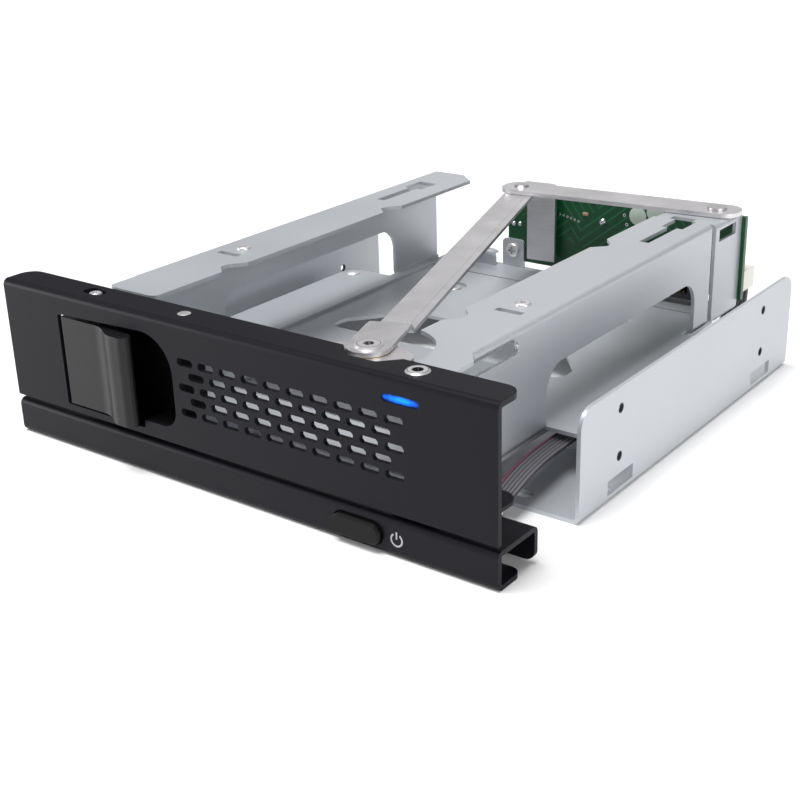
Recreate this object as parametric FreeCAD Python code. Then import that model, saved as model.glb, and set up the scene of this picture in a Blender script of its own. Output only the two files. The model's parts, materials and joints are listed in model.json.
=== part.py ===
import FreeCAD, Part
import math
import os

# Hot swap drive cage for a half-height 5.25 inch bay, holding one 3.5 inch drive without a tray.
# Millimetres. X points right, Y points back from the bezel face, Z points up.
# Every shape is made with the bezel face at Y = 0 and is moved to the part's origin when it is saved.

V = FreeCAD.Vector

# ---------------------------------------------------------------- driving dimensions
# Bezel: a swinging door above a fixed strip
bezel_width = 148.0
strip_height = 9.1
strip_flange_low = 0.8
strip_corner = 2.4
lip_depth = 9.0
strip_screw_inset = 8.0
strip_screw_z = 5.0
carrier_top = 8.2
door_gap = 1.3
bezel_sheet = 1.2
bezel_bend = 0.4
door_flange_depth = 9.4
stiffener_top = 18.0
stiffener_left = -12.5
stiffener_inset = 1.0
stiffener_low_gap = 0.1
door_ear_half_width = 5.4
door_ear_depth = 9.8
foot_sheet = 0.9
foot_left = 44.0
foot_right = 65.0
foot_front = 3.0
foot_rear = 22.8
foot_corner = 4.0
foot_tray_gap = 0.6

# Steel sheet of the chassis, tray and rails
sheet = 1.0
bend = 0.5

# Bay body and its standard threaded side and bottom holes
body_width = 146.0
body_front = 34.0
body_length = 116.6
side_wall_height = 27.0
side_wall_corner = 5.0
hole_first = 52.0
hole_pitch = 79.25
hole_low = 10.0
hole_rise = 11.84
bottom_hole_inset = 3.15
thread_radius = 1.25
wall_slot_width = 12.0
wall_slot_shift = 0.9
wall_slot_low = 0.9
wall_slot_height = 4.6
front_slot_inset = 5.2
front_slot_side = 18.5
front_slot_run = 3.4
front_slot_radius = 1.7

# The drive that slides in
drive_width = 101.6
drive_height = 26.1
drive_length = 147.0
drive_side_clearance = 0.6
drive_front = 10.8
drive_top_clearance = 1.1
hinge_ear_gap = 0.5

# Rails
rail_foot_z = 10.6
rail_front = 24.0
rail_flange_width = 18.0
ledge_front = 14.0
keeper_front = 6.6
keeper_low = 20.0
keeper_high = 30.0
hook_low = 23.2
hook_high = 26.8
hook_front = 7.8
hook_rear = 8.9
hook_room = 0.6
hook_tip = -50.9
rail_left_short = 1.8
rail_right_short = 15.8
sill_width = 4.4
window_front = 54.0
window_rear = 133.0
window_height = 14.6
window_corner = 7.0
flap_rear = 128.8
flap_wall_gap = 5.4
bite_depth = 3.6

# Door hinge, link and eject lever, all turning about upright axes
hinge_x = 51.0
hinge_y = 5.6
link_front_x = 33.4
link_front_y = 12.0
lever_pivot_x = 47.0
lever_pivot_ahead = 1.4
link_rear_x = -15.0
link_rear_ahead = 7.2
link_width = 9.0
link_sheet = 1.0
link_jog_start = 14.8
link_jog_length = 3.2
rib_offset = 1.6
lever_width = 11.0
lever_sheet = 1.2
blade_width = 9.6
blade_sheet = 1.2
blade_start = 54.4
blade_reach = 8.6
blade_low = 15.0
plate_sheet = 1.0
plate_left = 2.0
bracket_slot_length = 11.0
bracket_slot_height = 3.4
flange_rivet_radius = 1.6
washer_thickness = 0.2
pin_radius = 1.5
pivot_clearance = 0.05
hinge_radius = 2.7
head_bevel = 0.35
head_slope = 0.9
link_head_radius = 3.4
link_head_height = 0.5
sliding_gap = 0.1
link_drive_gap = 0.4
lever_washer = 0.2
swing_gap = 0.4

# Latch handle in its finger pocket
handle_left = -53.3
handle_right = -27.4
handle_low = 12.6
handle_top_drop = 6.1
handle_grip_length = 6.0
handle_ramp_length = 5.4
handle_ramp_radius = 8.0
handle_edge_drop = 2.8
handle_sheet = 2.0
handle_proud = 3.4
handle_pivot_x = -45.8
handle_pivot_y = 5.6
handle_pin_radius = 1.4
handle_pin_head = 1.7
handle_gap = 0.5
handle_side_gap = 1.0
handle_knuckle_wall = 1.3
spring_room_low = 14.8
spring_room_high = 19.6
pocket_depth = 8.6
pocket_left = -40.6
pocket_right = -15.5
ear_length = 4.7
pocket_top_drop = 4.1
pocket_sill = 14.2
pocket_step_gap = 0.9
pocket_low_radius = 4.5
pocket_high_radius = 9.5

# Vents and light window
vent_rows = 5
vent_columns = 10
vent_pitch_x = 6.62
vent_pitch_z = 3.12
vent_length = 4.9
vent_height = 1.9
vent_chamfer = 0.55
vent_first_x = -11.0
vent_low_z = 19.5
light_x = 50.5
light_drop = 4.8
light_length = 9.6
light_height = 1.9

# Power button
button_x = 38.0
button_z = 4.4
button_length = 13.4
button_height = 5.2
button_proud = 1.3
button_travel = 1.0
button_gap = 0.3
button_bevel = 0.5
stem_end = 7.0
small_board_left = 8.0
small_board_right = 24.4
small_board_sheet = 1.2

# Rear board with its connectors
board_behind = 4.2
board_sheet = 1.6
board_left = -27.0
board_right = 53.6
board_low = 12.4
board_top_drop = 1.6
rear_port_depth = 10.4
board_screw_radius = 1.2
tab_left = -28.6
tab_right = -20.6
tab_top = 19.6
tab_screw_z = 16.0
bracket_edge = 34.0
gap_behind_rail = 2.6
gap_behind_tray = 0.6
stop_left = -44.0
stop_right = -29.8
stop_top = 15.3
stop_lip = 3.2
stop_gap = 0.3

# Receptacle of the drive and the ports behind the board
receptacle_x = 24.6
receptacle_z = 15.6
receptacle_width = 37.4
receptacle_height = 6.0
receptacle_depth = 8.4
receptacle_cavity = 5.6
contact_pitch = 1.27
data_contacts = 7
power_contacts = 15
power_port_x = 20.6
power_port_width = 21.2
power_port_low = 22.0
power_port_height = 9.6
power_port_corner = 2.4
data_port_left = -19.0
data_port_width = 15.4
data_port_low = 26.4
data_port_height = 7.0
port_wall = 1.2
data_wall = 1.4
power_pin_pitch = 5.08
power_pin_width = 1.8
power_pin_z = 26.6

# Flat cable of six wires
ribbon_wires = 6
ribbon_pitch = 0.95
ribbon_thickness = 1.0
plug_wall = 1.2
plug_height = 4.2
ribbon_side_gap = 1.0
ribbon_plug_z = 5.6
ribbon_rise_z = 8.6
ribbon_belly_z = 5.7
ribbon_front_y = 21.0
ribbon_behind_board = 5.4
ribbon_plug_inset = 4.95
ribbon_port_inset = 3.55
ribbon_rear_plug_z = 14.6

# Openings of the body's floor, its pillars and the carrier's arms
arm_left = 20.0
arm_right = 42.0
strip_depth = 15.0
standoff_inset = 10.5
standoff_radius = 3.4
standoff_front = 60.0
standoff_rear = 124.5
rim_width = 25.0
opening_front = 40.0
opening_rear = 138.0
opening_wide_front = 74.0
opening_wide_rear = 116.0
opening_side = 7.0
opening_slope = 10.0

# Tray plate under the drive
tray_front = 17.0
tray_short = 9.8
tray_inset = 0.4
ear_half_width = 5.6
dimple_x = 29.0
dimple_y = 133.0
dimple_radius = 5.2
dimple_depth = 0.8

# Keyhole, bites and spring slot of the rail flanges
key_inset = 8.2
key_width = 6.4
key_neck = 2.8
key_neck_front = 117.0
key_wide_front = 133.5
key_wide_rear = 142.0
bite_front = 38.0
bite_rear = 47.0
rear_bite_front = 106.0
rear_bite_rear = 114.5
spring_slot_y = 49.6
spring_slot_width = 2.0
spring_screw_y = 56.5
spring_length = 20.0
spring_width = 6.0
spring_sheet = 0.3

# Front end of the right rail
guide_front = 12.0
guide_rear = 40.0
guide_drop = 0.8
guide_tall = 3.4
guide_proud = 0.9
guide_corner = 1.2
guide_gap = 0.05
ear_root = 17.0
front_bite_radius = 13.0

# Notch and pin slot of the door's top flange
notch_left = 28.5
notch_right = 44.5
notch_floor_left = 33.0
notch_floor_right = 40.5
notch_floor_y = 5.1
pin_slot_length = 6.6
pin_slot_radius = 1.9
door_corner = 4.0

# ---------------------------------------------------------------- worked out sizes
half_body = body_width / 2
half_bezel = bezel_width / 2
strip_screw_x = half_bezel - strip_screw_inset
bottom_hole_span = body_width - 2 * bottom_hole_inset
body_rear = body_front + body_length
door_low = strip_height + door_gap
standoff_x = half_body - standoff_inset
rim_inner = half_body - rim_width
opening_wide = half_body - opening_side
rail_inner = drive_width / 2 + drive_side_clearance
rail_outer = rail_inner + sheet
drive_floor = rail_foot_z + sheet
tray_z = rail_foot_z - sheet
rail_top = drive_floor + drive_height + drive_top_clearance
rail_crown = rail_top + sheet
door_top = rail_crown + hinge_ear_gap
bezel_height = door_top + bezel_sheet
handle_high = bezel_height - handle_top_drop
pocket_top = bezel_height - pocket_top_drop
light_z = bezel_height - light_drop
guide_high = rail_top - guide_drop
guide_low = guide_high - guide_tall
drive_rear = drive_front + drive_length
rail_rear_left = drive_rear - rail_left_short
rail_rear_right = drive_rear - rail_right_short
tray_rear = drive_rear - tray_short
board_y = drive_rear + board_behind
lever_pivot_y = drive_rear - lever_pivot_ahead
link_rear_y = drive_rear - link_rear_ahead
ribbon_rear_y = board_y + board_sheet + ribbon_behind_board
plate_low = door_top - plate_sheet
link_front_low = door_top + washer_thickness
link_low = drive_floor + drive_height + link_drive_gap
lever_low = link_low + link_sheet + sliding_gap
bracket_crown = lever_low - lever_washer
bracket_top = bracket_crown - sheet
board_high = bracket_crown - board_top_drop
swing_radius = hinge_y - bezel_sheet - swing_gap
end_radius = link_width / 2 + 0.5
flap_edge = half_body - sheet - flap_wall_gap
flange_edge = rail_outer - rail_flange_width
key_x = rail_outer - key_inset
link_length = math.hypot(link_rear_x - link_front_x, link_rear_y - link_front_y)
link_angle = math.degrees(math.atan2(link_rear_y - link_front_y, link_rear_x - link_front_x))
lever_length = math.hypot(link_rear_x - lever_pivot_x, link_rear_y - lever_pivot_y)
lever_angle = math.degrees(math.atan2(link_rear_y - lever_pivot_y, link_rear_x - lever_pivot_x))
window_top = drive_floor + window_height
ribbon_width = ribbon_wires * ribbon_pitch
ribbon_x = standoff_x - standoff_radius - ribbon_side_gap - ribbon_width / 2
rear_end = board_y + board_sheet + rear_port_depth
y_shift = -(rear_end - handle_proud) / 2


# ---------------------------------------------------------------- drawing helpers
def at(axis, u, v, w):
    """A point of a drawing plane: u, v are Y, Z on axis x, X, Z on axis y, and X, Y on axis z."""
    if axis == "x":
        return V(w, u, v)
    if axis == "y":
        return V(u, w, v)
    return V(u, v, w)


def outline(corners, axis="z", w=0.0):
    """Closed wire through (u, v) or (u, v, radius) corners, where a radius rounds its corner."""
    count = len(corners)
    points = [at(axis, c[0], c[1], w) for c in corners]
    edges = []
    joints = []
    for i in range(count):
        radius = corners[i][2] if len(corners[i]) > 2 else 0
        if radius <= 0:
            joints.append((points[i], None, points[i]))
            continue
        a = (points[i - 1] - points[i]).normalize()
        b = (points[(i + 1) % count] - points[i]).normalize()
        half = a.getAngle(b) / 2
        reach = radius / math.tan(half)
        middle = points[i] + (a + b).normalize() * (radius / math.sin(half) - radius)
        joints.append((points[i] + a * reach, middle, points[i] + b * reach))
    for i in range(count):
        start, middle, end = joints[i]
        following = joints[(i + 1) % count][0]
        if middle is not None:
            edges.append(Part.Arc(start, middle, end).toShape())
        if (following - end).Length > 1e-6:
            edges.append(Part.LineSegment(end, following).toShape())
    return Part.Wire(edges)


def prism(corners, axis, low, high):
    """Solid with a rounded outline, standing along an axis from low to high."""
    face = Part.Face(outline(corners, axis, low))
    return face.extrude(at(axis, 0, 0, high - low))


def block(x0, x1, y0, y1, z0, z1):
    return Part.makeBox(x1 - x0, y1 - y0, z1 - z0, V(x0, y0, z0))


def rod(axis, u, v, low, high, radius):
    """Round bar along an axis."""
    return Part.makeCylinder(radius, high - low, at(axis, u, v, low), at(axis, 0, 0, 1))


def obround(axis, u0, v0, u1, v1, radius, low, high):
    """Slot with round ends centred on the two given points."""
    run = math.hypot(u1 - u0, v1 - v0)
    du = (u1 - u0) / run
    dv = (v1 - v0) / run
    sides = []
    for along, across in ((-1, -1), (1, -1), (1, 1), (-1, 1)):
        end_u = u0 if along < 0 else u1
        end_v = v0 if along < 0 else v1
        u = end_u + along * du * radius - across * dv * radius
        v = end_v + along * dv * radius + across * du * radius
        sides.append((u, v, radius * 0.999))
    return prism(sides, axis, low, high)


def bent_sheet(path, thickness, inner_radius, axis, low, high):
    """Bent sheet: the open path is one skin, and the other lies a thickness to its left."""
    offset = []
    for i in range(len(path)):
        normals = []
        for a, b in ((i - 1, i), (i, i + 1)):
            if a < 0 or b >= len(path):
                continue
            du = path[b][0] - path[a][0]
            dv = path[b][1] - path[a][1]
            run = math.hypot(du, dv)
            normals.append((-dv / run, du / run))
        nu = sum(n[0] for n in normals) / len(normals)
        nv = sum(n[1] for n in normals) / len(normals)
        scale = thickness / (nu * nu + nv * nv)
        offset.append((path[i][0] + nu * scale, path[i][1] + nv * scale))
    corners = [(path[0][0], path[0][1], 0)]
    returned = [(offset[0][0], offset[0][1], 0)]
    for i in range(1, len(path) - 1):
        in_u = path[i][0] - path[i - 1][0]
        in_v = path[i][1] - path[i - 1][1]
        out_u = path[i + 1][0] - path[i][0]
        out_v = path[i + 1][1] - path[i][1]
        left = in_u * out_v - in_v * out_u > 0
        outer = inner_radius + thickness
        corners.append((path[i][0], path[i][1], outer if left else inner_radius))
        returned.append((offset[i][0], offset[i][1], inner_radius if left else outer))
    corners.append((path[-1][0], path[-1][1], 0))
    returned.append((offset[-1][0], offset[-1][1], 0))
    return prism(corners + returned[::-1], axis, low, high)


def cut(shape, *tools):
    for tool in tools:
        shape = shape.cut(tool)
    return shape


def join(shape, *others):
    for other in others:
        shape = shape.fuse(other)
    return shape.removeSplitter()


def group(solids):
    return Part.makeCompound(solids)


def mirrored(shape):
    """The same shape on the other side of the centre plane."""
    return shape.mirror(V(0, 0, 0), V(1, 0, 0))


def turned(shape, x, y, degrees):
    """Shape turned about an upright line."""
    copy = shape.copy()
    copy.rotate(V(x, y, 0), V(0, 0, 1), degrees)
    return copy


def rounded_ends(shape, axis, corners, low, high):
    """Keeps what lies inside an outline, to round the corners of a bent sheet."""
    return shape.common(prism(corners, axis, low, high))


def save(node, shape):
    placed = shape.copy()
    placed.translate(V(0, y_shift, 0))
    if not placed.isValid():
        raise ValueError(node + " is not a valid shape")
    placed.exportStep("parts/" + node + ".step")
    solids = len(placed.Solids)
    faces = len(placed.Faces)
    print(f"{node:24s} solids {solids:3d} faces {faces:4d} volume {placed.Volume:10.1f} mm3")


# ---------------------------------------------------------------- bay body


def base_chassis():
    """Channel with two side walls, open in the middle of its floor."""
    path = [
        (-half_body, side_wall_height),
        (-half_body, 0),
        (half_body, 0),
        (half_body, side_wall_height),
    ]
    body = bent_sheet(path, sheet, bend, "y", body_front, body_rear)
    corner = side_wall_corner
    side = [
        (body_front, -1, 0),
        (body_rear, -1, 0),
        (body_rear, side_wall_height, corner),
        (body_front, side_wall_height, corner),
    ]
    body = rounded_ends(body, "x", side, -half_body - 1, half_body + 1)
    half_opening = [
        (opening_front, rim_inner),
        (opening_wide_front - opening_slope, rim_inner),
        (opening_wide_front, opening_wide),
        (opening_wide_rear, opening_wide),
        (opening_wide_rear + opening_slope, rim_inner),
        (opening_rear, rim_inner),
    ]
    opening = [(x, y, 4) for y, x in half_opening]
    opening += [(-x, y, 4) for y, x in reversed(half_opening)]
    tools = [prism(opening, "z", -1, 2 * sheet)]
    for side in (-1, 1):
        for hole in (hole_first, hole_first + hole_pitch):
            tools.append(rod("z", side * bottom_hole_span / 2, hole, -1, 2 * sheet, thread_radius))
            wall = (-half_body - 1, -rail_outer) if side < 0 else (rail_outer, half_body + 1)
            for rise in (0, hole_rise):
                tools.append(rod("x", hole, hole_low + rise, wall[0], wall[1], thread_radius))
            low = wall_slot_low + sheet
            tools.append(block(
                wall[0], wall[1],
                hole + wall_slot_shift - wall_slot_width / 2,
                hole + wall_slot_shift + wall_slot_width / 2,
                low, low + wall_slot_height - sheet,
            ))
        front_slot = body_front + front_slot_inset
        slot_middle = half_body - front_slot_side
        tools.append(obround(
            "z", side * (slot_middle - front_slot_run / 2), front_slot,
            side * (slot_middle + front_slot_run / 2), front_slot,
            front_slot_radius, -1, 2 * sheet,
        ))
    return cut(body, *tools)


def standoffs():
    """Four pillars that carry the rail flaps above the floor of the body."""
    pillars = []
    for side in (-1, 1):
        for y in (standoff_front, standoff_rear):
            pillars.append(rod("z", side * standoff_x, y, sheet, rail_foot_z, standoff_radius))
    return group(pillars)


def low_head(x, y, z, radius, height):
    """Low head standing on a face, its side sloping in to a flat crown."""
    return Part.makeCone(radius, radius - head_slope * height, height, V(x, y, z))


# ---------------------------------------------------------------- tray
def tray_floor():
    """Plate under the drive, with two shaped openings and two sunk screw seats."""
    half = rail_outer - tray_inset
    plate = prism([
        (-half, tray_front, 2), (half, tray_front, 2), (half, tray_rear, 2), (-half, tray_rear, 2),
    ], "z", tray_z, rail_foot_z)
    front_opening = [
        (-38, 64, 4), (38, 64, 4), (38, 70, 3), (33, 73.6, 2), (-33, 73.6, 2), (-38, 70, 3),
    ]
    rear_opening = [
        (-39, 84, 3), (39, 84, 3), (38.5, 91, 3), (31, 100, 4), (22, 106.5, 3),
        (-22, 106.5, 3), (-31, 100, 4), (-38.5, 91, 3),
    ]
    low = tray_z - sheet
    high = rail_foot_z + sheet
    plate = cut(
        plate,
        prism(front_opening, "z", low, high),
        prism(rear_opening, "z", low, high),
        obround("z", -30, 38, 30, 38, 4.5, low, high),
    )
    for side in (-1, 1):
        x = side * dimple_x
        seat = rod("z", x, dimple_y, tray_z - dimple_depth, tray_z, dimple_radius)
        bowl = rod("z", x, dimple_y, rail_foot_z - dimple_depth, rail_foot_z, dimple_radius - sheet)
        plate = plate.fuse(seat).cut(bowl)
    return plate.removeSplitter()


# ---------------------------------------------------------------- rails
def rail_section(front, rear):
    """Top flange, wall and sill of one rail, with the drive's side towards -X."""
    path = [
        (rail_inner - sill_width, rail_foot_z),
        (rail_outer, rail_foot_z),
        (rail_outer, rail_crown),
        (flange_edge, rail_crown),
    ]
    return bent_sheet(path, sheet, bend, "y", front, rear)


def flange_openings():
    """Bites in the free edge of the top flange, its keyhole, spring slot and screw hole."""
    low = rail_top - sheet
    high = rail_crown + sheet
    tools = []
    for start, end in ((bite_front, bite_rear), (rear_bite_front, rear_bite_rear)):
        tools.append(prism([
            (flange_edge - 1, start - 1.4, 0), (flange_edge + bite_depth, start + 3, 1.5),
            (flange_edge + bite_depth - 0.8, end - 3, 1.5), (flange_edge - 1, end + 1.4, 0),
        ], "z", low, high))
    wide = key_width / 2
    narrow = key_neck / 2
    tools.append(block(key_x - wide, key_x + wide, key_wide_front, key_wide_rear, low, high))
    tools.append(block(key_x - narrow, key_x + narrow, key_neck_front, key_wide_rear, low, high))
    half_slot = spring_width / 2 + 0.6
    tools.append(block(
        key_x - half_slot, key_x + half_slot, spring_slot_y, spring_slot_y + spring_slot_width,
        low, high,
    ))
    tools.append(rod("z", key_x, spring_screw_y, low, high, thread_radius))
    return tools


def rail(rear):
    """Rail with its window, whose flap is folded outwards to stand on the pillars."""
    low = rail_foot_z - sheet
    window = prism([
        (window_front, low, 0), (window_rear, low, 0),
        (window_rear, window_top, window_corner), (window_front, window_top, window_corner),
    ], "x", rail_outer - 2 * sheet, rail_outer + sheet)
    sill_edge = rail_inner - sill_width
    sill = block(
        sill_edge, rail_outer - bend - sheet, window_front, window_rear, rail_foot_z, drive_floor,
    )
    flap = prism([
        (sill_edge, window_front, 0), (flap_edge, window_front, 4),
        (flap_edge, flap_rear, 6), (sill_edge, flap_rear, 0),
    ], "z", rail_foot_z, drive_floor)
    body = join(cut(rail_section(rail_front, rear), window), sill, flap)
    return cut(body, *flange_openings())


def left_rail():
    """Rail on the side of the latch, with the keeper ear that reaches forward to the door."""
    body = mirrored(rail(rail_rear_left))
    ledge = prism([
        (-rail_outer + bend + sheet, rail_front, 0), (-flange_edge, rail_front, 0),
        (-flange_edge, ledge_front, 2), (-rail_outer + bend + sheet, ledge_front, 2),
    ], "z", rail_top, rail_crown)
    keeper = prism([
        (rail_front, keeper_low, 0), (keeper_front, keeper_low, 2),
        (keeper_front, keeper_high, 2), (rail_front, keeper_high, 0),
    ], "x", -rail_outer, -rail_inner)
    catch = block(
        -rail_outer - 1, -rail_inner + 1, hook_front - hook_room, hook_rear + hook_room,
        hook_low - hook_room, hook_high + hook_room,
    )
    corner = prism([
        (-flange_edge + 1, rail_rear_left - 6, 0), (-flange_edge + 1, rail_rear_left + 1, 0),
        (-flange_edge - 6, rail_rear_left + 1, 0), (-flange_edge - 5.4, rail_rear_left - 0.6, 3),
    ], "z", rail_top - sheet, rail_crown + sheet)
    sill_end = block(
        -rail_outer + bend + sheet, -rail_inner + sill_width + 1, tray_rear + gap_behind_tray,
        rail_rear_left + 1, rail_foot_z - sheet, drive_floor + 0.01,
    )
    return cut(join(body, ledge, keeper), catch, corner, sill_end)


def right_rail():
    """Rail on the side of the hinge: it carries the upper hinge ear and the light guide."""
    body = rail(rail_rear_right)
    ear_left = hinge_x - ear_half_width
    ear_right = hinge_x + swing_radius
    ear_front = hinge_y - swing_radius
    ear = prism([
        (ear_left, ear_root, 0), (ear_left, ear_front, swing_radius),
        (ear_right, ear_front, swing_radius), (ear_right, rail_front - 4, 1),
        (rail_outer - bend, rail_front, 0), (rail_outer - bend, rail_front + 4, 0),
        (flange_edge + 4, rail_front + 4, 0),
    ], "z", rail_top, rail_crown)
    low = rail_top - sheet
    high = rail_crown + sheet
    bite = rod("z", flange_edge - 2.6, rail_front - 7.4, low, high, front_bite_radius)
    hinge_hole = rod("z", hinge_x, hinge_y, low, high, pin_radius)
    guide_slot = prism([
        (rail_front - 1, guide_low, 0), (guide_rear, guide_low, guide_corner),
        (guide_rear, guide_high, guide_corner), (rail_front - 1, guide_high, 0),
    ], "x", rail_inner - 1, rail_outer + 1)
    return cut(join(body, ear), bite, hinge_hole, guide_slot)


def hold_down_spring():
    """Leaf under a rail's flange that leans on the top edge of the drive."""
    top = rail_top
    leaf = bent_sheet([
        (spring_slot_y + 1, top), (spring_screw_y + 4, top), (spring_screw_y + spring_length, top - 0.6),
    ][::-1], spring_sheet, spring_sheet, "x", key_x - spring_width / 2, key_x + spring_width / 2)
    return leaf.cut(rod("z", key_x, spring_screw_y, top - 2, top + 1, thread_radius))


def hold_down_springs():
    return group([hold_down_spring(), mirrored(hold_down_spring())])


def light_guide():
    """Clear bar in the slot of the right rail that brings the light forward to the door; it stands proud."""
    side = rail_inner + guide_gap
    low = guide_low + guide_gap
    high = guide_high - guide_gap
    return prism([
        (guide_front, low, 0.4), (guide_rear - guide_gap, low, guide_corner),
        (guide_rear - guide_gap, high, guide_corner), (guide_front, high, 0.4),
    ], "x", side, rail_outer + guide_proud)


# ---------------------------------------------------------------- door
def pocket_outline(margin):
    """Opening for the handle, with the large round corners of the finger pocket."""
    left = handle_left - handle_side_gap - margin
    low = handle_low - handle_gap - margin
    sill = pocket_sill - margin
    step = handle_right + pocket_step_gap + margin
    right = pocket_right + margin
    return [
        (left, low, 0.6), (step, low, 0.6), (step, sill, 0.4),
        (right, sill, pocket_low_radius + margin),
        (right, pocket_top + margin, pocket_high_radius + margin),
        (left, handle_high + handle_gap + margin, 1.0),
    ]


def vent_slots():
    """Rows of oblong slots, every second row set half a pitch across and one slot shorter."""
    slots = []
    half = vent_length / 2
    tall = vent_height / 2
    for row in range(vent_rows):
        odd = row % 2
        z = vent_low_z + row * vent_pitch_z
        for column in range(vent_columns - odd):
            x = vent_first_x + (column + odd / 2) * vent_pitch_x
            corners = []
            for u, v in ((-1, -1), (1, -1), (1, 1), (-1, 1)):
                beside = (x + u * (half - vent_chamfer), z + v * tall)
                end = (x + u * half, z + v * (tall - vent_chamfer))
                corners += [end, beside] if u * v > 0 else [beside, end]
            slots.append(prism(corners, "y", -1, bezel_sheet + 1))
    return slots


def door_panel():
    """Bent front panel: face, top flange, handle opening, vents and the light window."""
    path = [(door_flange_depth, bezel_height), (0, bezel_height), (0, door_low)]
    skin = bent_sheet(path, bezel_sheet, bezel_bend, "x", -half_bezel, half_bezel)
    plan = [
        (-half_bezel, -1, 0), (half_bezel, -1, 0),
        (half_bezel, door_flange_depth, door_corner), (-half_bezel, door_flange_depth, door_corner),
    ]
    panel = rounded_ends(skin, "z", plan, 0, bezel_height + 1)
    low = door_top - 1
    high = bezel_height + 1
    notch = prism([
        (notch_left, door_flange_depth + 1, 0), (notch_left, door_flange_depth, 0.5),
        (notch_floor_left, notch_floor_y, 1.5), (notch_floor_right, notch_floor_y, 1.5),
        (notch_right, door_flange_depth, 0.5), (notch_right, door_flange_depth + 1, 0),
    ], "z", low, high)
    half_slot = pin_slot_length / 2 - pin_slot_radius
    half_light = (light_length - light_height) / 2
    tools = [
        notch,
        prism(pocket_outline(0), "y", -1, bezel_sheet + 1),
        obround("z", handle_pivot_x - half_slot, handle_pivot_y,
                handle_pivot_x + half_slot, handle_pivot_y, pin_slot_radius, low, high),
        rod("z", pocket_right, hinge_y, low, high, flange_rivet_radius),
        rod("z", hinge_x, hinge_y, low, high, hinge_radius + pivot_clearance),
        obround("y", light_x - half_light, light_z, light_x + half_light, light_z,
                light_height / 2, -1, bezel_sheet + 1),
    ]
    return cut(panel, *tools, *vent_slots())


def door_stiffener():
    """Sheet welded behind the lower face; its bottom ear, under the drive's level, takes the hinge pin."""
    low = door_low + stiffener_low_gap
    path = [(bezel_sheet, stiffener_top), (bezel_sheet, low), (door_ear_depth, low)]
    right = half_bezel - stiffener_inset
    skin = bent_sheet(path, sheet, bend, "x", stiffener_left, right)
    lip = bezel_sheet + sheet
    ear_left = hinge_x - door_ear_half_width
    ear_right = hinge_x + door_ear_half_width
    plan = [
        (stiffener_left, 0, 0), (right, 0, 0), (right, lip, 0), (ear_right, lip, 0),
        (ear_right, door_ear_depth, door_ear_half_width - 1.6),
        (ear_left, door_ear_depth, door_ear_half_width - 1.6), (ear_left, lip, 0), (stiffener_left, lip, 0),
    ]
    skin = rounded_ends(skin, "z", plan, 0, bezel_height)
    return skin.cut(rod(
        "z", hinge_x, hinge_y, low - 1, low + 2 * sheet, hinge_radius + pivot_clearance,
    ))


def handle_pocket():
    """Pressed pan behind the opening; its floor and roof reach left to hold the handle's pin."""
    back = bezel_sheet + pocket_depth
    shell = prism(pocket_outline(sheet), "y", bezel_sheet, back)
    hollow = prism(pocket_outline(0), "y", bezel_sheet - 1, back - sheet)
    shell = shell.cut(hollow)
    wall_left = pocket_left - sheet
    open_left = block(
        handle_left - 5, wall_left, bezel_sheet - 1, back + 1,
        handle_low - handle_gap, handle_high + handle_gap,
    )
    ends = block(handle_left - 5, handle_pivot_x - ear_length, 0, back + 1, 0, bezel_height)
    wall = block(
        wall_left, pocket_left, handle_sheet + 1.2, back,
        handle_low - handle_gap, handle_high + handle_gap,
    )
    pin = rod("z", handle_pivot_x, handle_pivot_y, 0, bezel_height, handle_pin_radius)
    return cut(join(cut(shell, open_left, ends), wall), pin)


def link_plate():
    """Steel plate under the door's top flange that holds the link's front pivot."""
    front = bezel_sheet + bezel_bend + 0.1
    plate = prism([
        (plate_left, front, 1), (link_front_x + 9.6, front, 3), (link_front_x + 11.6, link_front_y - 4.0, 3),
        (link_front_x + 10.6, link_front_y + 2.4, 3.5), (link_front_x + 5.1, link_front_y + 5.6, 4.5),
        (link_front_x - 4.4, link_front_y + 5.4, 5.5), (link_front_x - 8.9, link_front_y + 0.4, 3),
        (plate_left, link_front_y - 2.2, 2),
    ], "z", plate_low, door_top)
    return plate.cut(rod("z", link_front_x, link_front_y, plate_low - 1, door_top + 1, pin_radius))


def light_window():
    """Clear window in the face, in front of the light guide."""
    half = (light_length - light_height) / 2
    return obround("y", light_x - half, light_z, light_x + half, light_z,
                   light_height / 2, 0.25, bezel_sheet + 1.2)


# ---------------------------------------------------------------- latch handle
def handle_plan():
    """Plan outline of the handle: flat plate, swollen grip and the knuckle round its pin."""
    back = handle_sheet + 0.6
    knuckle = handle_pin_radius + handle_knuckle_wall
    grip = handle_right - handle_grip_length
    flat = grip - handle_ramp_length
    return [
        (handle_left, 0.0, 0.5), (flat, 0.0, handle_ramp_radius),
        (grip, -handle_proud + 0.15, 0.75 * handle_ramp_radius),
        (handle_right - 0.9, -handle_proud, 1.9),
        (handle_right, -handle_proud + handle_edge_drop, 1.0),
        (handle_right - 2.2, -handle_proud + handle_edge_drop + 1.0, 0.9),
        (grip + 0.8, -handle_proud + handle_edge_drop + 0.9, 1.2),
        (flat + 2.2, back, 2.0), (handle_pivot_x + knuckle, back, 0.8),
        (handle_pivot_x + knuckle, handle_pivot_y + knuckle - 0.3, knuckle * 0.9),
        (handle_pivot_x - knuckle, handle_pivot_y + knuckle - 0.3, 0.8),
        (handle_pivot_x - knuckle, back, 0.6), (handle_left, back, 0.8),
    ]


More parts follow.
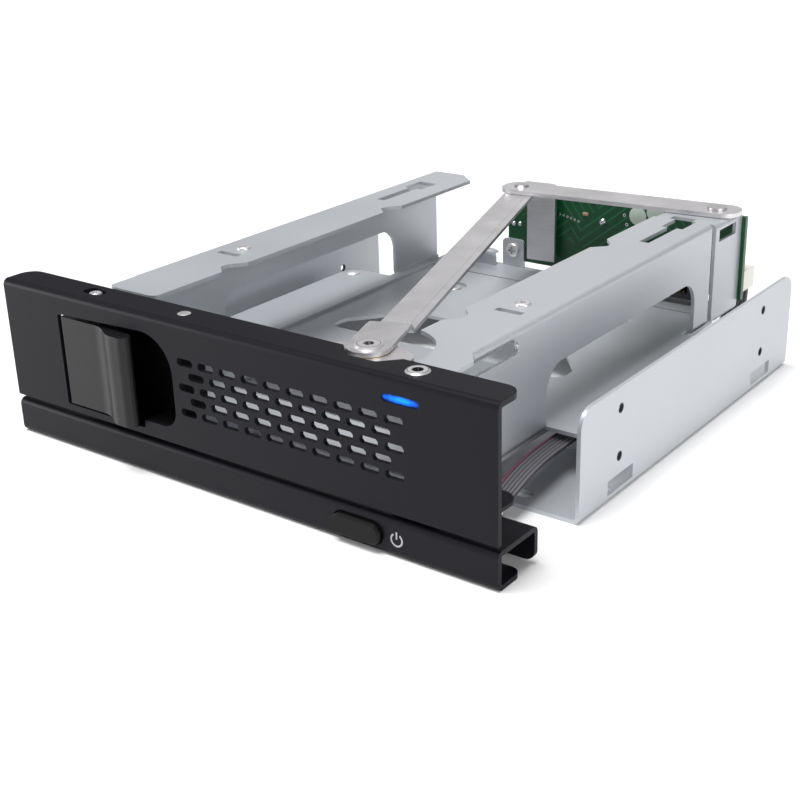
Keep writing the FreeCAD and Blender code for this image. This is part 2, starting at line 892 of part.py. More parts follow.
def latch_handle():
    """Handle that is pulled out at its right edge and turns about an upright pin."""
    body = prism(handle_plan(), "z", handle_low, handle_high)
    bore = rod("z", handle_pivot_x, handle_pivot_y, handle_low - 1, handle_high + 1,
               handle_pin_radius + pivot_clearance)
    knuckle = handle_pin_radius + handle_knuckle_wall
    room = block(
        handle_pivot_x - knuckle - 1, handle_pivot_x + knuckle + 1, handle_sheet + 0.6,
        handle_pivot_y + knuckle + 1, spring_room_low, spring_room_high,
    )
    return cut(body, bore, room)


def latch_pin():
    """Pin of the handle, from the pocket's floor up into the slot of the door's flange."""
    low = handle_low - handle_gap - sheet
    shank = rod("z", handle_pivot_x, handle_pivot_y, low, door_top - 0.6, handle_pin_radius)
    head = rod("z", handle_pivot_x, handle_pivot_y, door_top - 0.6, door_top + 0.7, handle_pin_head)
    return join(shank, head)


def latch_spring():
    """Return spring round the handle pin, as the sleeve that its coils fill, with one leg."""
    low = spring_room_low + 0.3
    high = spring_room_high - 0.3
    inner = handle_pin_radius + 0.15
    sleeve = rod("z", handle_pivot_x, handle_pivot_y, low, high, inner + 0.5)
    leg = block(handle_pivot_x, handle_pivot_x + 4.0, handle_pivot_y + inner, handle_pivot_y + inner + 0.5,
                low, low + 0.5)
    return cut(join(sleeve, leg), rod("z", handle_pivot_x, handle_pivot_y, low - 1, high + 1, inner))


def latch_hook():
    """Steel tongue on the knuckle, whose nose points at the slot of the keeper ear."""
    side = handle_pivot_x - handle_pin_radius - handle_knuckle_wall
    root = handle_sheet + 1.4
    return prism([
        (side, root, 0.3), (side, hook_rear, 0.8), (hook_tip, hook_rear, 0.3),
        (hook_tip, hook_rear - 0.8, 0.2), (side - 1.0, hook_front - 0.6, 0.5), (side - 1.0, root, 0.3),
    ], "z", hook_low, hook_high)


# ---------------------------------------------------------------- hinge of the door
def socket(x, y, across, low, high):
    """Six-sided recess of a screw head."""
    corners = []
    for i in range(6):
        turn = math.radians(60 * i)
        corners.append((x + across / 2 * math.cos(turn), y + across / 2 * math.sin(turn)))
    return prism(corners, "z", low, high)


def hinge_screw():
    """Shouldered screw through the door's flange into the ear of the right rail."""
    shank = rod("z", hinge_x, hinge_y, rail_top - 0.8, rail_crown, pin_radius)
    head = rod("z", hinge_x, hinge_y, rail_crown, bezel_height, hinge_radius)
    crown = V(hinge_x, hinge_y, bezel_height)
    bevel = Part.makeCone(hinge_radius, hinge_radius - head_bevel, head_bevel, crown)
    recess = socket(hinge_x, hinge_y, 2.6, bezel_height - 0.9, bezel_height + 1)
    return cut(join(shank, head, bevel), recess)


def hinge_foot():
    """Plate on top of the strip that carries the lower hinge pin; the door swings over it."""
    edge = rail_outer - tray_inset + foot_tray_gap
    plate = prism([
        (foot_left, foot_front, 2), (foot_right, foot_front, 2), (foot_right, foot_rear, foot_corner),
        (edge, foot_rear, 1), (edge, tray_front - foot_tray_gap, 0),
        (foot_left, tray_front - foot_tray_gap, 2),
    ], "z", strip_height, strip_height + foot_sheet)
    return plate.cut(rod("z", hinge_x, hinge_y, strip_height - 1, door_low, pin_radius))


def hinge_pin():
    """Lower hinge pin standing on the foot, with a collar that carries the door's ear."""
    low = strip_height + foot_sheet
    seat = door_low + stiffener_low_gap - sliding_gap
    top = door_low + stiffener_low_gap + sheet
    shank = rod("z", hinge_x, hinge_y, strip_height, low, pin_radius)
    collar = rod("z", hinge_x, hinge_y, low, seat, hinge_radius + 0.6)
    return join(shank, collar, rod("z", hinge_x, hinge_y, seat, top, hinge_radius))


# ---------------------------------------------------------------- link and eject lever
def link_arm():
    """Flat pull link with a joggle near its front pivot and a rib pressed along it."""
    half = link_width / 2
    slope = link_jog_start + link_jog_length
    side = [
        (-6, link_front_low), (link_jog_start, link_front_low), (slope, link_low),
        (link_length + 6, link_low),
    ]
    strip = bent_sheet(side, link_sheet, bend, "y", -10, 10)
    rear = link_length + half
    plan = [
        (-end_radius, -end_radius, end_radius * 0.99), (link_jog_start - 2, -end_radius, 3),
        (slope + 2, -half, 3), (rear, -half, half * 0.99), (rear, half, half * 0.99),
        (slope + 2, half, 3), (link_jog_start - 2, end_radius, 3),
        (-end_radius, end_radius, end_radius * 0.99),
    ]
    strip = rounded_ends(strip, "z", plan, link_low - 1, link_front_low + 3)
    face = link_low + link_sheet
    rib = obround("z", slope + 5, -rib_offset, link_length - 9, -rib_offset, 1.0, face - 0.05, face + 0.08)
    rear_hole = rod("z", link_length, 0, link_low - 1, face + 1, pin_radius + pivot_clearance)
    front_hole = rod("z", 0, 0, link_front_low - 1, link_front_low + 2, pin_radius)
    arm = cut(join(strip, rib), rear_hole, front_hole)
    arm.rotate(V(0, 0, 0), V(0, 0, 1), link_angle)
    arm.translate(V(link_front_x, link_front_y, 0))
    return arm


def link_screw():
    """Low-headed screw at the link's front pivot; it turns with the link on the washer."""
    top = link_front_low + link_sheet
    shank = rod("z", link_front_x, link_front_y, link_front_low, top, pin_radius)
    head = Part.makeCone(link_head_radius, link_head_radius - head_bevel, link_head_height,
                         V(link_front_x, link_front_y, top))
    recess = socket(link_front_x, link_front_y, 2.6, top - 0.3, top + 1)
    return cut(join(shank, head), recess)


def link_washer():
    """Thin washer on the plate, under the link."""
    top = link_front_low - sliding_gap
    ring = rod("z", link_front_x, link_front_y, door_top, top, end_radius + 0.1)
    return ring.cut(rod("z", link_front_x, link_front_y, door_top - 1, top + 1, pin_radius))


def eject_lever():
    """Flat lever at the back, with the blade that pushes the drive out."""
    half = lever_width / 2
    bar = prism([
        (-7.0, -half, half * 0.9), (lever_length + 6.0, -half, half * 0.9),
        (lever_length + 6.0, half, half * 0.9), (-7.0, half, half * 0.9),
    ], "z", lever_low, lever_low + lever_sheet)
    crown = lever_low + lever_sheet
    blade = bent_sheet([
        (-half + 2, crown), (-blade_reach, crown), (-blade_reach, blade_low),
    ], blade_sheet, bend, "x", blade_start, blade_start + blade_width)
    pivot = rod("z", 0, 0, lever_low - 1, crown + 1, pin_radius + pivot_clearance)
    far = rod("z", lever_length, 0, lever_low - 1, crown + 1, pin_radius)
    lever = cut(join(bar, blade), pivot, far)
    lever.rotate(V(0, 0, 0), V(0, 0, 1), lever_angle)
    lever.translate(V(lever_pivot_x, lever_pivot_y, 0))
    return lever


def lever_pivot():
    """Headed pin that holds the lever on the rear bracket."""
    crown = lever_low + lever_sheet + pivot_clearance
    shank = rod("z", lever_pivot_x, lever_pivot_y, bracket_top - 0.2, crown, pin_radius)
    head = rod("z", lever_pivot_x, lever_pivot_y, crown, crown + 0.6, 2.8)
    collar = rod("z", lever_pivot_x, lever_pivot_y, bracket_crown, lever_low - pivot_clearance, 3.4)
    return join(shank, head, collar)


def lever_rivet():
    """Rivet that joins the lever to the link."""
    crown = lever_low + lever_sheet
    under = link_low - pivot_clearance
    shank = rod("z", link_rear_x, link_rear_y, under, crown, pin_radius)
    foot = rod("z", link_rear_x, link_rear_y, under - 0.25, under, 2.4)
    return join(shank, foot, low_head(link_rear_x, link_rear_y, crown, 2.4, 0.6))


# ---------------------------------------------------------------- back end
def board_screw_places():
    return [((tab_left + tab_right) / 2, tab_screw_z), (rail_inner - 3.6, tab_screw_z)]


def rear_bracket():
    """Bracket behind the right rail: floor, side, top and two turned-up tabs for the board."""
    left = -rail_inner + 0.3
    rear = board_y
    front = rail_rear_right + gap_behind_rail
    path = [(left, tray_z), (rail_outer, tray_z), (rail_outer, bracket_crown), (bracket_edge, bracket_crown)]
    shell = bent_sheet(path, sheet, bend, "y", front, rear)
    floor_front = tray_rear + gap_behind_tray
    ahead = block(left - 1, rail_outer + 1, front - 1, floor_front, tray_z - 1, rail_foot_z + 0.01)
    inside = block(left - 1, rail_inner - 0.01, front - 1, floor_front, tray_z - 1, bracket_top - 1)
    slot_rear = lever_pivot_y + 1.6
    slot_high = bracket_crown - 2.0
    side_slot = block(
        rail_inner - 2, rail_outer + 1, slot_rear - bracket_slot_length, slot_rear,
        slot_high - bracket_slot_height, slot_high,
    )
    top_slot = block(
        lever_pivot_x - 9.0, lever_pivot_x - 2.0, front - 1, front + 3.0, bracket_top - 1, bracket_crown + 1,
    )
    tab = prism([
        (tab_left, tray_z), (tab_right, tray_z), (tab_right, tab_top, 1.5), (tab_left, tab_top, 1.5),
    ], "y", rear - sheet, rear)
    right_tab = prism([
        (rail_inner - 7.0, tray_z), (rail_inner + 0.2, tray_z),
        (rail_inner + 0.2, tab_top), (rail_inner - 7.0, tab_top, 1.5),
    ], "y", rear - sheet, rear)
    bracket = join(cut(shell, ahead, inside, side_slot, top_slot), tab, right_tab)
    holes = [rod("z", lever_pivot_x, lever_pivot_y, bracket_top - 1, bracket_crown + 1, pin_radius)]
    for x, z in board_screw_places():
        holes.append(rod("y", x, z, rear - 2, rear + 1, thread_radius))
    return cut(bracket, *holes)


def drive_stop():
    """Folded stop behind the drive: a face with a lip turned back."""
    face_y = drive_rear + stop_gap
    skin = bent_sheet([
        (face_y + stop_lip, stop_top), (face_y, stop_top), (face_y, rail_foot_z),
    ], sheet, bend, "x", stop_left, stop_right)
    front_view = [
        (stop_left, 0, 0), (stop_right, 0, 0), (stop_right, stop_top, 2.4), (stop_left, stop_top, 2.4),
    ]
    return rounded_ends(skin, "y", front_view, face_y - 1, face_y + stop_lip + 1)


def backplane_board():
    """Circuit board across the back."""
    board = block(board_left, board_right, board_y, board_y + board_sheet, board_low, board_high)
    for x, z in board_screw_places():
        board = board.cut(rod("y", x, z, board_y - 1, board_y + board_sheet + 1, board_screw_radius))
    return board


def drive_receptacle():
    """Combined data and power receptacle that the drive plugs into."""
    x0 = receptacle_x - receptacle_width / 2
    front = board_y - receptacle_depth
    half = receptacle_height / 2
    shell = block(x0, x0 + receptacle_width, front, board_y, receptacle_z - half, receptacle_z + half)
    deep = front + receptacle_cavity
    data = block(x0 + 2.0, x0 + 11.6, front - 1, deep, receptacle_z - 1.3, receptacle_z + 1.3)
    power = block(x0 + 13.4, x0 + 34.6, front - 1, deep, receptacle_z - 1.3, receptacle_z + 1.3)
    key = block(x0 + 33.4, x0 + 34.6, front - 1, deep, receptacle_z - 1.3, receptacle_z + 2.1)
    return cut(shell, data, power, key)


def receptacle_contacts():
    """Contact combs inside the receptacle: seven data blades and fifteen power blades."""
    x0 = receptacle_x - receptacle_width / 2
    front = board_y - receptacle_depth + 1.0
    deep = board_y - receptacle_depth + receptacle_cavity
    blades = []
    for first, count in ((x0 + 3.0, data_contacts), (x0 + 15.2, power_contacts)):
        for i in range(count):
            x = first + i * contact_pitch
            blades.append(block(x - 0.3, x + 0.3, front, deep, receptacle_z - 1.3, receptacle_z - 0.9))
    return group(blades)


def board_parts():
    """Larger parts on the front of the board: a regulator, a coil and capacitors."""
    face = board_y
    parts = []
    for left, low, wide, tall, proud in (
        (10.0, 12.6, 6.0, 4.0, 1.1), (29.0, 11.0, 6.4, 6.4, 2.0), (57.0, 13.6, 4.0, 5.0, 1.2),
    ):
        x = board_left + left
        z = board_low + low
        parts.append(block(x, x + wide, face - proud, face, z, z + tall))
    for along, up in ((40.0, 14.0), (67.0, 12.6)):
        parts.append(rod("y", board_left + along, board_low + up, face - 3.0, face, 2.5))
    for i in range(5):
        x = board_left + 23.0 + i * 2.6
        parts.append(block(x, x + 1.2, face - 0.6, face, board_high - 4.4, board_high - 2.4))
    return group(parts)


def rear_data_port():
    """Data socket on the back of the board."""
    y0 = board_y + board_sheet
    y1 = y0 + rear_port_depth
    x0 = data_port_left
    x1 = x0 + data_port_width
    z0 = data_port_low
    z1 = z0 + data_port_height
    body = block(x0, x1, y0, y1, z0, z1)
    mouth = block(x0 + data_wall, x1 - data_wall, y0 + 2, y1 + 1, z0 + data_wall, z1 - data_wall)
    tongue = block(x0 + 2.6, x1 - 2.6, y0 + 2, y1 - 0.8, z0 + 3.4, z0 + 4.6)
    return join(cut(body, mouth), tongue)


def rear_power_port():
    """Four-pin power socket on the back of the board, with two chamfered corners."""
    y0 = board_y + board_sheet
    y1 = y0 + rear_port_depth
    x0 = power_port_x - power_port_width / 2
    x1 = x0 + power_port_width
    z0 = power_port_low
    z1 = z0 + power_port_height
    corner = power_port_corner
    body = prism([
        (x0, z0), (x1, z0), (x1, z1 - corner + 0.2), (x1 - corner, z1), (x0 + corner, z1),
        (x0, z1 - corner + 0.2),
    ], "y", y0, y1)
    wall = port_wall
    inner = wall + corner - 0.7
    mouth = prism([
        (x0 + wall, z0 + wall), (x1 - wall, z0 + wall), (x1 - wall, z1 - corner - 0.3),
        (x1 - inner, z1 - wall), (x0 + inner, z1 - wall), (x0 + wall, z1 - corner - 0.3),
    ], "y", y0 + 2, y1 + 1)
    return cut(body, mouth)


def power_pins():
    """Four pins in the power socket."""
    y0 = board_y + board_sheet + 2
    first = power_port_x - 1.5 * power_pin_pitch
    half = power_pin_width / 2
    pins = []
    for i in range(4):
        x = first + i * power_pin_pitch
        pins.append(block(x - half, x + half, y0, y0 + 6.0, power_pin_z - half, power_pin_z + half))
    return group(pins)


# ---------------------------------------------------------------- bezel strip and power button
def plug_window(low, high):
    """Window for the cable's plug in the upright sheets behind the strip."""
    start = ribbon_route()[0]
    half = ribbon_width / 2 + plug_wall + button_gap
    tall = plug_height / 2 + button_gap
    return block(start.x - half, start.x + half, low, high, start.z - tall, start.z + tall)


def front_strip():
    """Fixed strip under the door: bottom lip, face, top flange and rear flange."""
    path = [
        (strip_depth, strip_flange_low), (strip_depth, strip_height), (0, strip_height), (0, 0),
        (lip_depth, 0),
    ]
    skin = bent_sheet(path, bezel_sheet, bezel_bend, "x", -half_bezel, half_bezel)
    plan = [
        (-half_bezel, -1, 0), (half_bezel, -1, 0),
        (half_bezel, lip_depth, strip_corner), (-half_bezel, lip_depth, strip_corner),
    ]
    lower = rounded_ends(skin, "z", plan, -1, bezel_sheet)
    upper = skin.common(block(-half_bezel, half_bezel, -1, lip_depth, bezel_sheet, bezel_height))
    rear_view = [
        (-half_bezel, strip_flange_low, strip_corner), (half_bezel, strip_flange_low, strip_corner),
        (half_bezel, strip_height + 1, 0), (-half_bezel, strip_height + 1, 0),
    ]
    rear = rounded_ends(skin, "y", rear_view, lip_depth, strip_depth + 1)
    half = (button_length - button_height) / 2
    holes = [
        obround("y", button_x - half, button_z, button_x + half, button_z,
                button_height / 2 + button_gap, -1, bezel_sheet + 1),
        plug_window(lip_depth, strip_depth + 1),
    ]
    for side in (-1, 1):
        holes.append(rod("y", side * strip_screw_x, strip_screw_z, lip_depth, strip_depth + 1, thread_radius))
    return cut(join(lower, upper, rear), *holes)


def front_carrier():
    """Bracket that holds the strip in front of the body: upright plate and two arms."""
    half = strip_screw_x + 3.0
    pieces = [prism([
        (-half, sheet, 2), (half, sheet, 2), (half, carrier_top, 2), (-half, carrier_top, 2),
    ], "y", strip_depth, strip_depth + sheet)]
    for side in (-1, 1):
        low_x, high_x = sorted((side * arm_left, side * arm_right))
        path = [(strip_depth, carrier_top - 2), (strip_depth, sheet), (opening_front - 0.4, sheet)]
        pieces.append(bent_sheet(path, sheet, bend, "x", low_x, high_x))
    holes = [plug_window(strip_depth - 1, strip_depth + 2)]
    for side in (-1, 1):
        holes.append(rod("y", side * strip_screw_x, strip_screw_z, strip_depth - 1, strip_depth + 2,
                         thread_radius))
    return cut(join(*pieces), *holes)


def power_button():
    """Oblong button with softened edges, a shoulder that keeps it in and a stem behind."""
    half = (button_length - button_height) / 2
    radius = button_height / 2
    left = button_x - half
    right = button_x + half
    cap = obround("y", left, button_z, right, button_z, radius, -button_proud, bezel_sheet + 1.0)
    rim = [e for e in cap.Edges if all(abs(v.Y + button_proud) < 1e-4 for v in e.Vertexes)]
    cap = cap.makeChamfer(button_bevel, rim)
    shoulder = obround("y", left, button_z, right, button_z, radius + 0.5,
                       bezel_sheet + 0.15, bezel_sheet + 1.0)
    stem = rod("y", button_x, button_z, bezel_sheet + 1.0, stem_end, 1.3)
    return join(cap, shoulder, stem)


def button_switch():
    """Push switch behind the button, with its plunger."""
    start = stem_end + button_travel + 0.15
    board_front = strip_depth - bezel_sheet - small_board_sheet
    body = block(button_x - 3.0, button_x + 3.0, start + 0.5, board_front, button_z - 2.6, button_z + 2.6)
    return join(body, rod("y", button_x, button_z, start, start + 0.5, 1.6))


def button_board():
    """Small board on the strip's rear flange that holds the switch."""
    back = strip_depth - bezel_sheet
    return block(
        button_x - small_board_left, button_x + small_board_right, back - small_board_sheet, back,
        button_z - 2.5, button_z + 2.8,
    )


# ---------------------------------------------------------------- flat cable
def ribbon_route():
    """Points of the cable: from the plug behind the strip, under the flap, to the rear board."""
    plug_x = button_x + small_board_right - ribbon_plug_inset
    port_x = board_right - ribbon_port_inset
    low = ribbon_belly_z
    return [
        V(plug_x, ribbon_front_y, ribbon_plug_z), V(plug_x, ribbon_front_y + 5, ribbon_plug_z),
        V(plug_x + 0.2, ribbon_front_y + 13, ribbon_rise_z), V(ribbon_x + 0.9, 46.0, ribbon_rise_z),
        V(ribbon_x + 0.1, 62.0, ribbon_rise_z - 0.6), V(ribbon_x, 82.0, low),
        V(ribbon_x + 0.2, 102.0, low + 0.3), V(ribbon_x + 0.1, 120.0, low - 0.1),
        V(ribbon_x - 0.8, 137.0, low + 0.1), V(ribbon_x - 2.4, 151.0, low),
        V(port_x + 1.0, ribbon_rear_y - 7, low + 0.8), V(port_x, ribbon_rear_y, low + 3.2),
        V(port_x, ribbon_rear_y, ribbon_rear_plug_z),
    ]


def rounded_route(points):
    """Wire of straight runs joined by tangent arcs, each as large as its two runs allow."""
    reach_share = 0.45
    edges = []
    radii = []
    start = points[0]
    for i in range(1, len(points) - 1):
        back = points[i - 1] - points[i]
        ahead = points[i + 1] - points[i]
        reach = reach_share * min(back.Length, ahead.Length)
        a = back.normalize()
        b = ahead.normalize()
        half = a.getAngle(b) / 2
        radius = reach * math.tan(half)
        middle = points[i] + (a + b).normalize() * (radius / math.sin(half) - radius)
        entry = points[i] + a * reach
        leave = points[i] + b * reach
        edges.append(Part.LineSegment(start, entry).toShape())
        edges.append(Part.Arc(entry, middle, leave).toShape())
        radii.append(radius)
        start = leave
    edges.append(Part.LineSegment(start, points[-1]).toShape())
    return Part.Wire(edges), radii


def ribbon_cable():
    """Flat cable swept along its route, its wires lying side by side across."""
    points = ribbon_route()
    route, radii = rounded_route(points)
    half = ribbon_width / 2
    thick = ribbon_thickness / 2
    along = (points[1] - points[0]).normalize()
    across = along.cross(V(0, 0, 1)).normalize()
    lift = across.cross(along).normalize()
    corners = []
    for a, b in ((-1, -1), (1, -1), (1, 1), (-1, 1)):
        corners.append(points[0] + across * (a * half) + lift * (b * thick))
    pipe = Part.BRepOffsetAPI.MakePipeShell(route)
    pipe.setBiNormalMode(V(1, 0, 0))
    pipe.add(Part.makePolygon(corners + corners[:1]))
    pipe.build()
    pipe.makeSolid()
    cable = pipe.shape()
    expected = ribbon_width * ribbon_thickness * route.Length
    print(f"cable length {route.Length:.1f}, volume {cable.Volume:.1f}, section x length {expected:.1f}")
    print("cable radii", [round(r, 1) for r in radii])
    return cable


def ribbon_plug_front():
    """Plug on the switch board, passing through the window of the strip's flange."""
    start = ribbon_route()[0]
    half = ribbon_width / 2 + plug_wall
    return block(start.x - half, start.x + half, strip_depth - bezel_sheet, start.y,
                 start.z - plug_height / 2, start.z + plug_height / 2)


def ribbon_plug_rear():
    """Plug on the back of the rear board, open downwards for the cable."""
    end = ribbon_route()[-1]
    half = ribbon_width / 2 + plug_wall
    return block(end.x - half, board_right, board_y + board_sheet, end.y + plug_height / 2,
                 end.z, end.z + 6.0)


# ---------------------------------------------------------------- nodes
os.makedirs("parts", exist_ok=True)
NODES = [
    base_chassis, standoffs, tray_floor, left_rail, right_rail,
    hold_down_springs, light_guide, door_panel, door_stiffener, handle_pocket,
    link_plate, light_window, latch_handle, latch_pin, latch_spring,
    latch_hook, hinge_screw, hinge_foot, hinge_pin, link_arm, link_screw, link_washer, eject_lever,
    lever_pivot, lever_rivet, rear_bracket, drive_stop, backplane_board,
    drive_receptacle, receptacle_contacts, board_parts, rear_data_port, rear_power_port,
    power_pins, front_strip, front_carrier, power_button,
    button_switch, button_board, ribbon_cable, ribbon_plug_front, ribbon_plug_rear,
]
for make in NODES:
    save(make.__name__, make())
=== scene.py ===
"""Looks of a hot swap drive cage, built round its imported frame.

The file is laid out as an add-on and run as a script: every operator makes one piece or one group of
like pieces, and main() calls them in order. Lengths are in metres, except where a comment says millimetres.
"""

import json
import math

import bmesh
import bpy
import numpy as np
from mathutils import Matrix, Vector


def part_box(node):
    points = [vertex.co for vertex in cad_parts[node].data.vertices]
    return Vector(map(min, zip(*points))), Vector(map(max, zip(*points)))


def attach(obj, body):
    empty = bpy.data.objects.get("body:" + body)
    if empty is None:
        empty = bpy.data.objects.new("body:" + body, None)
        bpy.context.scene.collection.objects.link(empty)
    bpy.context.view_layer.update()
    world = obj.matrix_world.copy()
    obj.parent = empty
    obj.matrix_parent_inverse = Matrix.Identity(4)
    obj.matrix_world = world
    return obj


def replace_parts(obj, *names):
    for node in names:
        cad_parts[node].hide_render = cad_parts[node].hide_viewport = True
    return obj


bl_info = {
    "name": "Drive cage looks",
    "version": (1, 0, 0),
    "blender": (4, 5, 0),
    "location": "View3D > Sidebar > Drive cage",
    "description": "Finishes, small parts, cable and studio of a hot swap drive cage",
    "category": "Object",
}

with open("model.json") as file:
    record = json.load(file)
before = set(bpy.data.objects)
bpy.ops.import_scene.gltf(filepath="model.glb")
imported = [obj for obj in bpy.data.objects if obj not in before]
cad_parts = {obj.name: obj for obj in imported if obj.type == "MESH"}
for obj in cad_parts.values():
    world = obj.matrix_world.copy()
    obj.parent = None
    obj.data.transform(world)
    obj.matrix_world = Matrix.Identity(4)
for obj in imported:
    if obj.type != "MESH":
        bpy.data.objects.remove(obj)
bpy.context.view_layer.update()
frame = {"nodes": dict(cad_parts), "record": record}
NODES = frame["nodes"]
SLOT_OF = {part["node"]: part["material_slot"] for part in frame["record"]["subparts"]}

MM = 0.001
FACE_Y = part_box("front_strip")[0].y
BOARD_FRONT, BOARD_BACK = (corner.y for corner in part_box("backplane_board"))
PROUD = 0.03 * MM

# In millimetres: the sheet of the cage and of the bezel, the line of the door's pivots behind the face, and
# the rows of threaded holes in the side walls, by their distances behind the face and their heights.
SHEET = 1.0
BEZEL_SHEET = 1.2
PIVOT_LINE = 5.6
HOLE_BACKS = (52.0, 131.25)
HOLE_HEIGHTS = (10.0, 21.84)


# ---------------------------------------------------------------- sizes and colours
# Each of these five makes one property of the groups below.
def tint(name, default, description):
    return bpy.props.FloatVectorProperty(
        name=name, description=description, subtype="COLOR", size=3, min=0, max=1, default=default
    )


def share(name, default, description):
    return bpy.props.FloatProperty(
        name=name, description=description, subtype="FACTOR", min=0, max=1, default=default
    )


def length(name, default, description):
    return bpy.props.FloatProperty(
        name=name, description=description, unit="LENGTH", subtype="DISTANCE", default=default
    )


def angle(name, degrees, description):
    return bpy.props.FloatProperty(
        name=name, description=description, subtype="ANGLE", default=math.radians(degrees)
    )


def strength(name, default, description):
    return bpy.props.FloatProperty(name=name, description=description, min=0, default=default)


class CagePaints(bpy.types.PropertyGroup):
    """Colours and gloss of the finishes."""

    bezel: tint("Bezel", (0.0060, 0.0056, 0.0092), "Powder coat of the door and the strip")
    bezel_gloss: share("Bezel roughness", 0.44, "Roughness of the powder coat")
    handle: tint("Handle", (0.0065, 0.0064, 0.0082), "Moulded plastic of the latch handle")
    # Painted shade: the pocket is set about five times darker than the handle, standing in for the shade in
    # the recess.
    pocket: tint("Pocket", (0.0012, 0.0012, 0.0015), "Moulded plastic of the handle's pocket")
    button: tint("Button", (0.002, 0.002, 0.0026), "Moulded plastic of the power button")
    ink: tint("Ink", (0.40, 0.40, 0.43), "Power mark beside the button")
    chassis: tint("Chassis", (0.535, 0.555, 0.585), "Grey zinc coat of the folded sheet")
    steel: tint("Steel", (0.70, 0.685, 0.70), "Bare steel of the link, the lever and the screws")
    brass: tint("Brass", (0.70, 0.52, 0.25), "Washer and plated contacts")
    mask: tint("Solder mask", (0.006, 0.085, 0.027), "Green coat of the rear board")
    solder: tint("Solder", (0.66, 0.67, 0.68), "Joints and plated holes of the board")
    dark_chip: tint("Dark chip", (0.02, 0.02, 0.022), "Chip with legs on the board")
    tan_chip: tint("Tan chip", (0.42, 0.30, 0.18), "Small parts on the board")
    sticker: tint("Sticker", (0.62, 0.72, 0.62), "Blank stickers on the board")
    glow: tint("Light", (0.0, 0.15, 1.0), "Light behind the window")
    guide: tint("Guide", (0.86, 0.89, 0.91), "Clear plastic that leads the light to the window")
    cable: tint("Cable", (0.15, 0.145, 0.16), "Jacket of the flat cable")
    first_wire: tint("First wire", (0.17, 0.055, 0.085), "Stripe on the first wire of the flat cable")
    dark_plastic: tint("Dark connector", (0.018, 0.018, 0.020), "Receptacle and sockets")
    pale_plastic: tint("Pale connector", (0.78, 0.76, 0.70), "Plugs and the power socket")


class CageSizes(bpy.types.PropertyGroup):
    """Sizes of the small pieces."""

    wires: bpy.props.IntProperty(
        name="Wires", description="Wires side by side in the flat cable", default=6, min=2, max=20
    )
    wire_pitch: length("Wire pitch", 0.95 * MM, "Distance between neighbouring wires")
    wire_thickness: length("Wire thickness", 1.0 * MM, "Thickness of the flat cable")
    mark_radius: length("Mark radius", 1.65 * MM, "Radius of the power mark beside the button")
    mark_offset: length("Mark offset", 3.3 * MM, "Distance of the mark's middle from the button's side")
    mark_line: length("Mark line", 0.42 * MM, "Width of the mark's line")
    coil_fill: share("Coil fill", 0.8, "Share of the handle spring's room that its coils fill")
    spring_wire: length("Spring wire", 0.45 * MM, "Wire of the handle's return spring")


class CageStudio(bpy.types.PropertyGroup):
    """Camera and lights."""

    azimuth: angle("Azimuth", 37.46, "Turn of the line of sight")
    elevation: angle("Elevation", 22.74, "Height of the line of sight")
    roll: angle("Roll", -1.74, "Turn of the camera about its line of sight")
    place: bpy.props.FloatVectorProperty(
        name="Place", description="Where the camera stands", subtype="TRANSLATION", size=3,
        default=(202.38 * MM, -283.48 * MM, 141.61 * MM),
    )
    lens: bpy.props.FloatProperty(name="Lens", description="Focal length in millimetres", default=60.70)
    floor: tint("Floor", (0.92, 0.92, 0.92), "Colour of the studio floor")
    sky: strength("Sky", 0.25, "Strength of the even light from all sides")
    sun: strength("Sun", 3.2, "Strength of the soft light from above")
    side: strength("Side", 7.2, "Power of the soft light from the right, in watts")
    front: strength("Front", 4.0, "Power of the low soft light from the front left, in watts")
    back: strength("Back", 0.8, "Power of the soft light from behind, in watts")


# ---------------------------------------------------------------- meshes worked out with numpy
def add_mesh(name, points, faces, smooth=True, sharp=None, marks=None):
    """Object from an (n, 3) array of points and an (m, 3 or 4) array of corner numbers.

    marks gives one number a point, kept as the attribute "mark". Points at one place are joined, which closes
    the seams and the poles of the grids.
    """
    mesh = bpy.data.meshes.new(name)
    points = np.asarray(points, np.float32).reshape(-1, 3)
    faces = np.asarray(faces, np.int32)
    count, corners = faces.shape
    mesh.vertices.add(len(points))
    mesh.vertices.foreach_set("co", points.ravel())
    mesh.loops.add(faces.size)
    mesh.loops.foreach_set("vertex_index", faces.ravel())
    mesh.polygons.add(count)
    mesh.polygons.foreach_set("loop_start", np.arange(count, dtype=np.int32) * corners)
    mesh.polygons.foreach_set("loop_total", np.full(count, corners, np.int32))
    mesh.update(calc_edges=True)
    if marks is not None:
        values = mesh.attributes.new("mark", "FLOAT", "POINT").data
        values.foreach_set("value", np.asarray(marks, np.float32).ravel())
    shell = bmesh.new()
    shell.from_mesh(mesh)
    bmesh.ops.remove_doubles(shell, verts=shell.verts, dist=0.001 * MM)
    shell.to_mesh(mesh)
    shell.free()
    mesh.validate()
    if smooth:
        mesh.polygons.foreach_set("use_smooth", np.ones(len(mesh.polygons), bool))
        if sharp is not None:
            mesh.set_sharp_from_angle(angle=math.radians(sharp))
    piece = bpy.data.objects.new(name, mesh)
    bpy.context.scene.collection.objects.link(piece)
    return piece


def grid_faces(rows, columns, loop_rows=False, loop_columns=False):
    """Corner numbers of a rows x columns grid of points, joined to a ring where a loop is asked for."""
    last_row = rows if loop_rows else rows - 1
    last_column = columns if loop_columns else columns - 1
    i, j = np.meshgrid(np.arange(last_row), np.arange(last_column), indexing="ij")
    i = i.ravel()
    j = j.ravel()
    below = (i + 1) % rows
    beside = (j + 1) % columns
    return np.stack([i * columns + j, i * columns + beside, below * columns + beside, below * columns + j], 1)


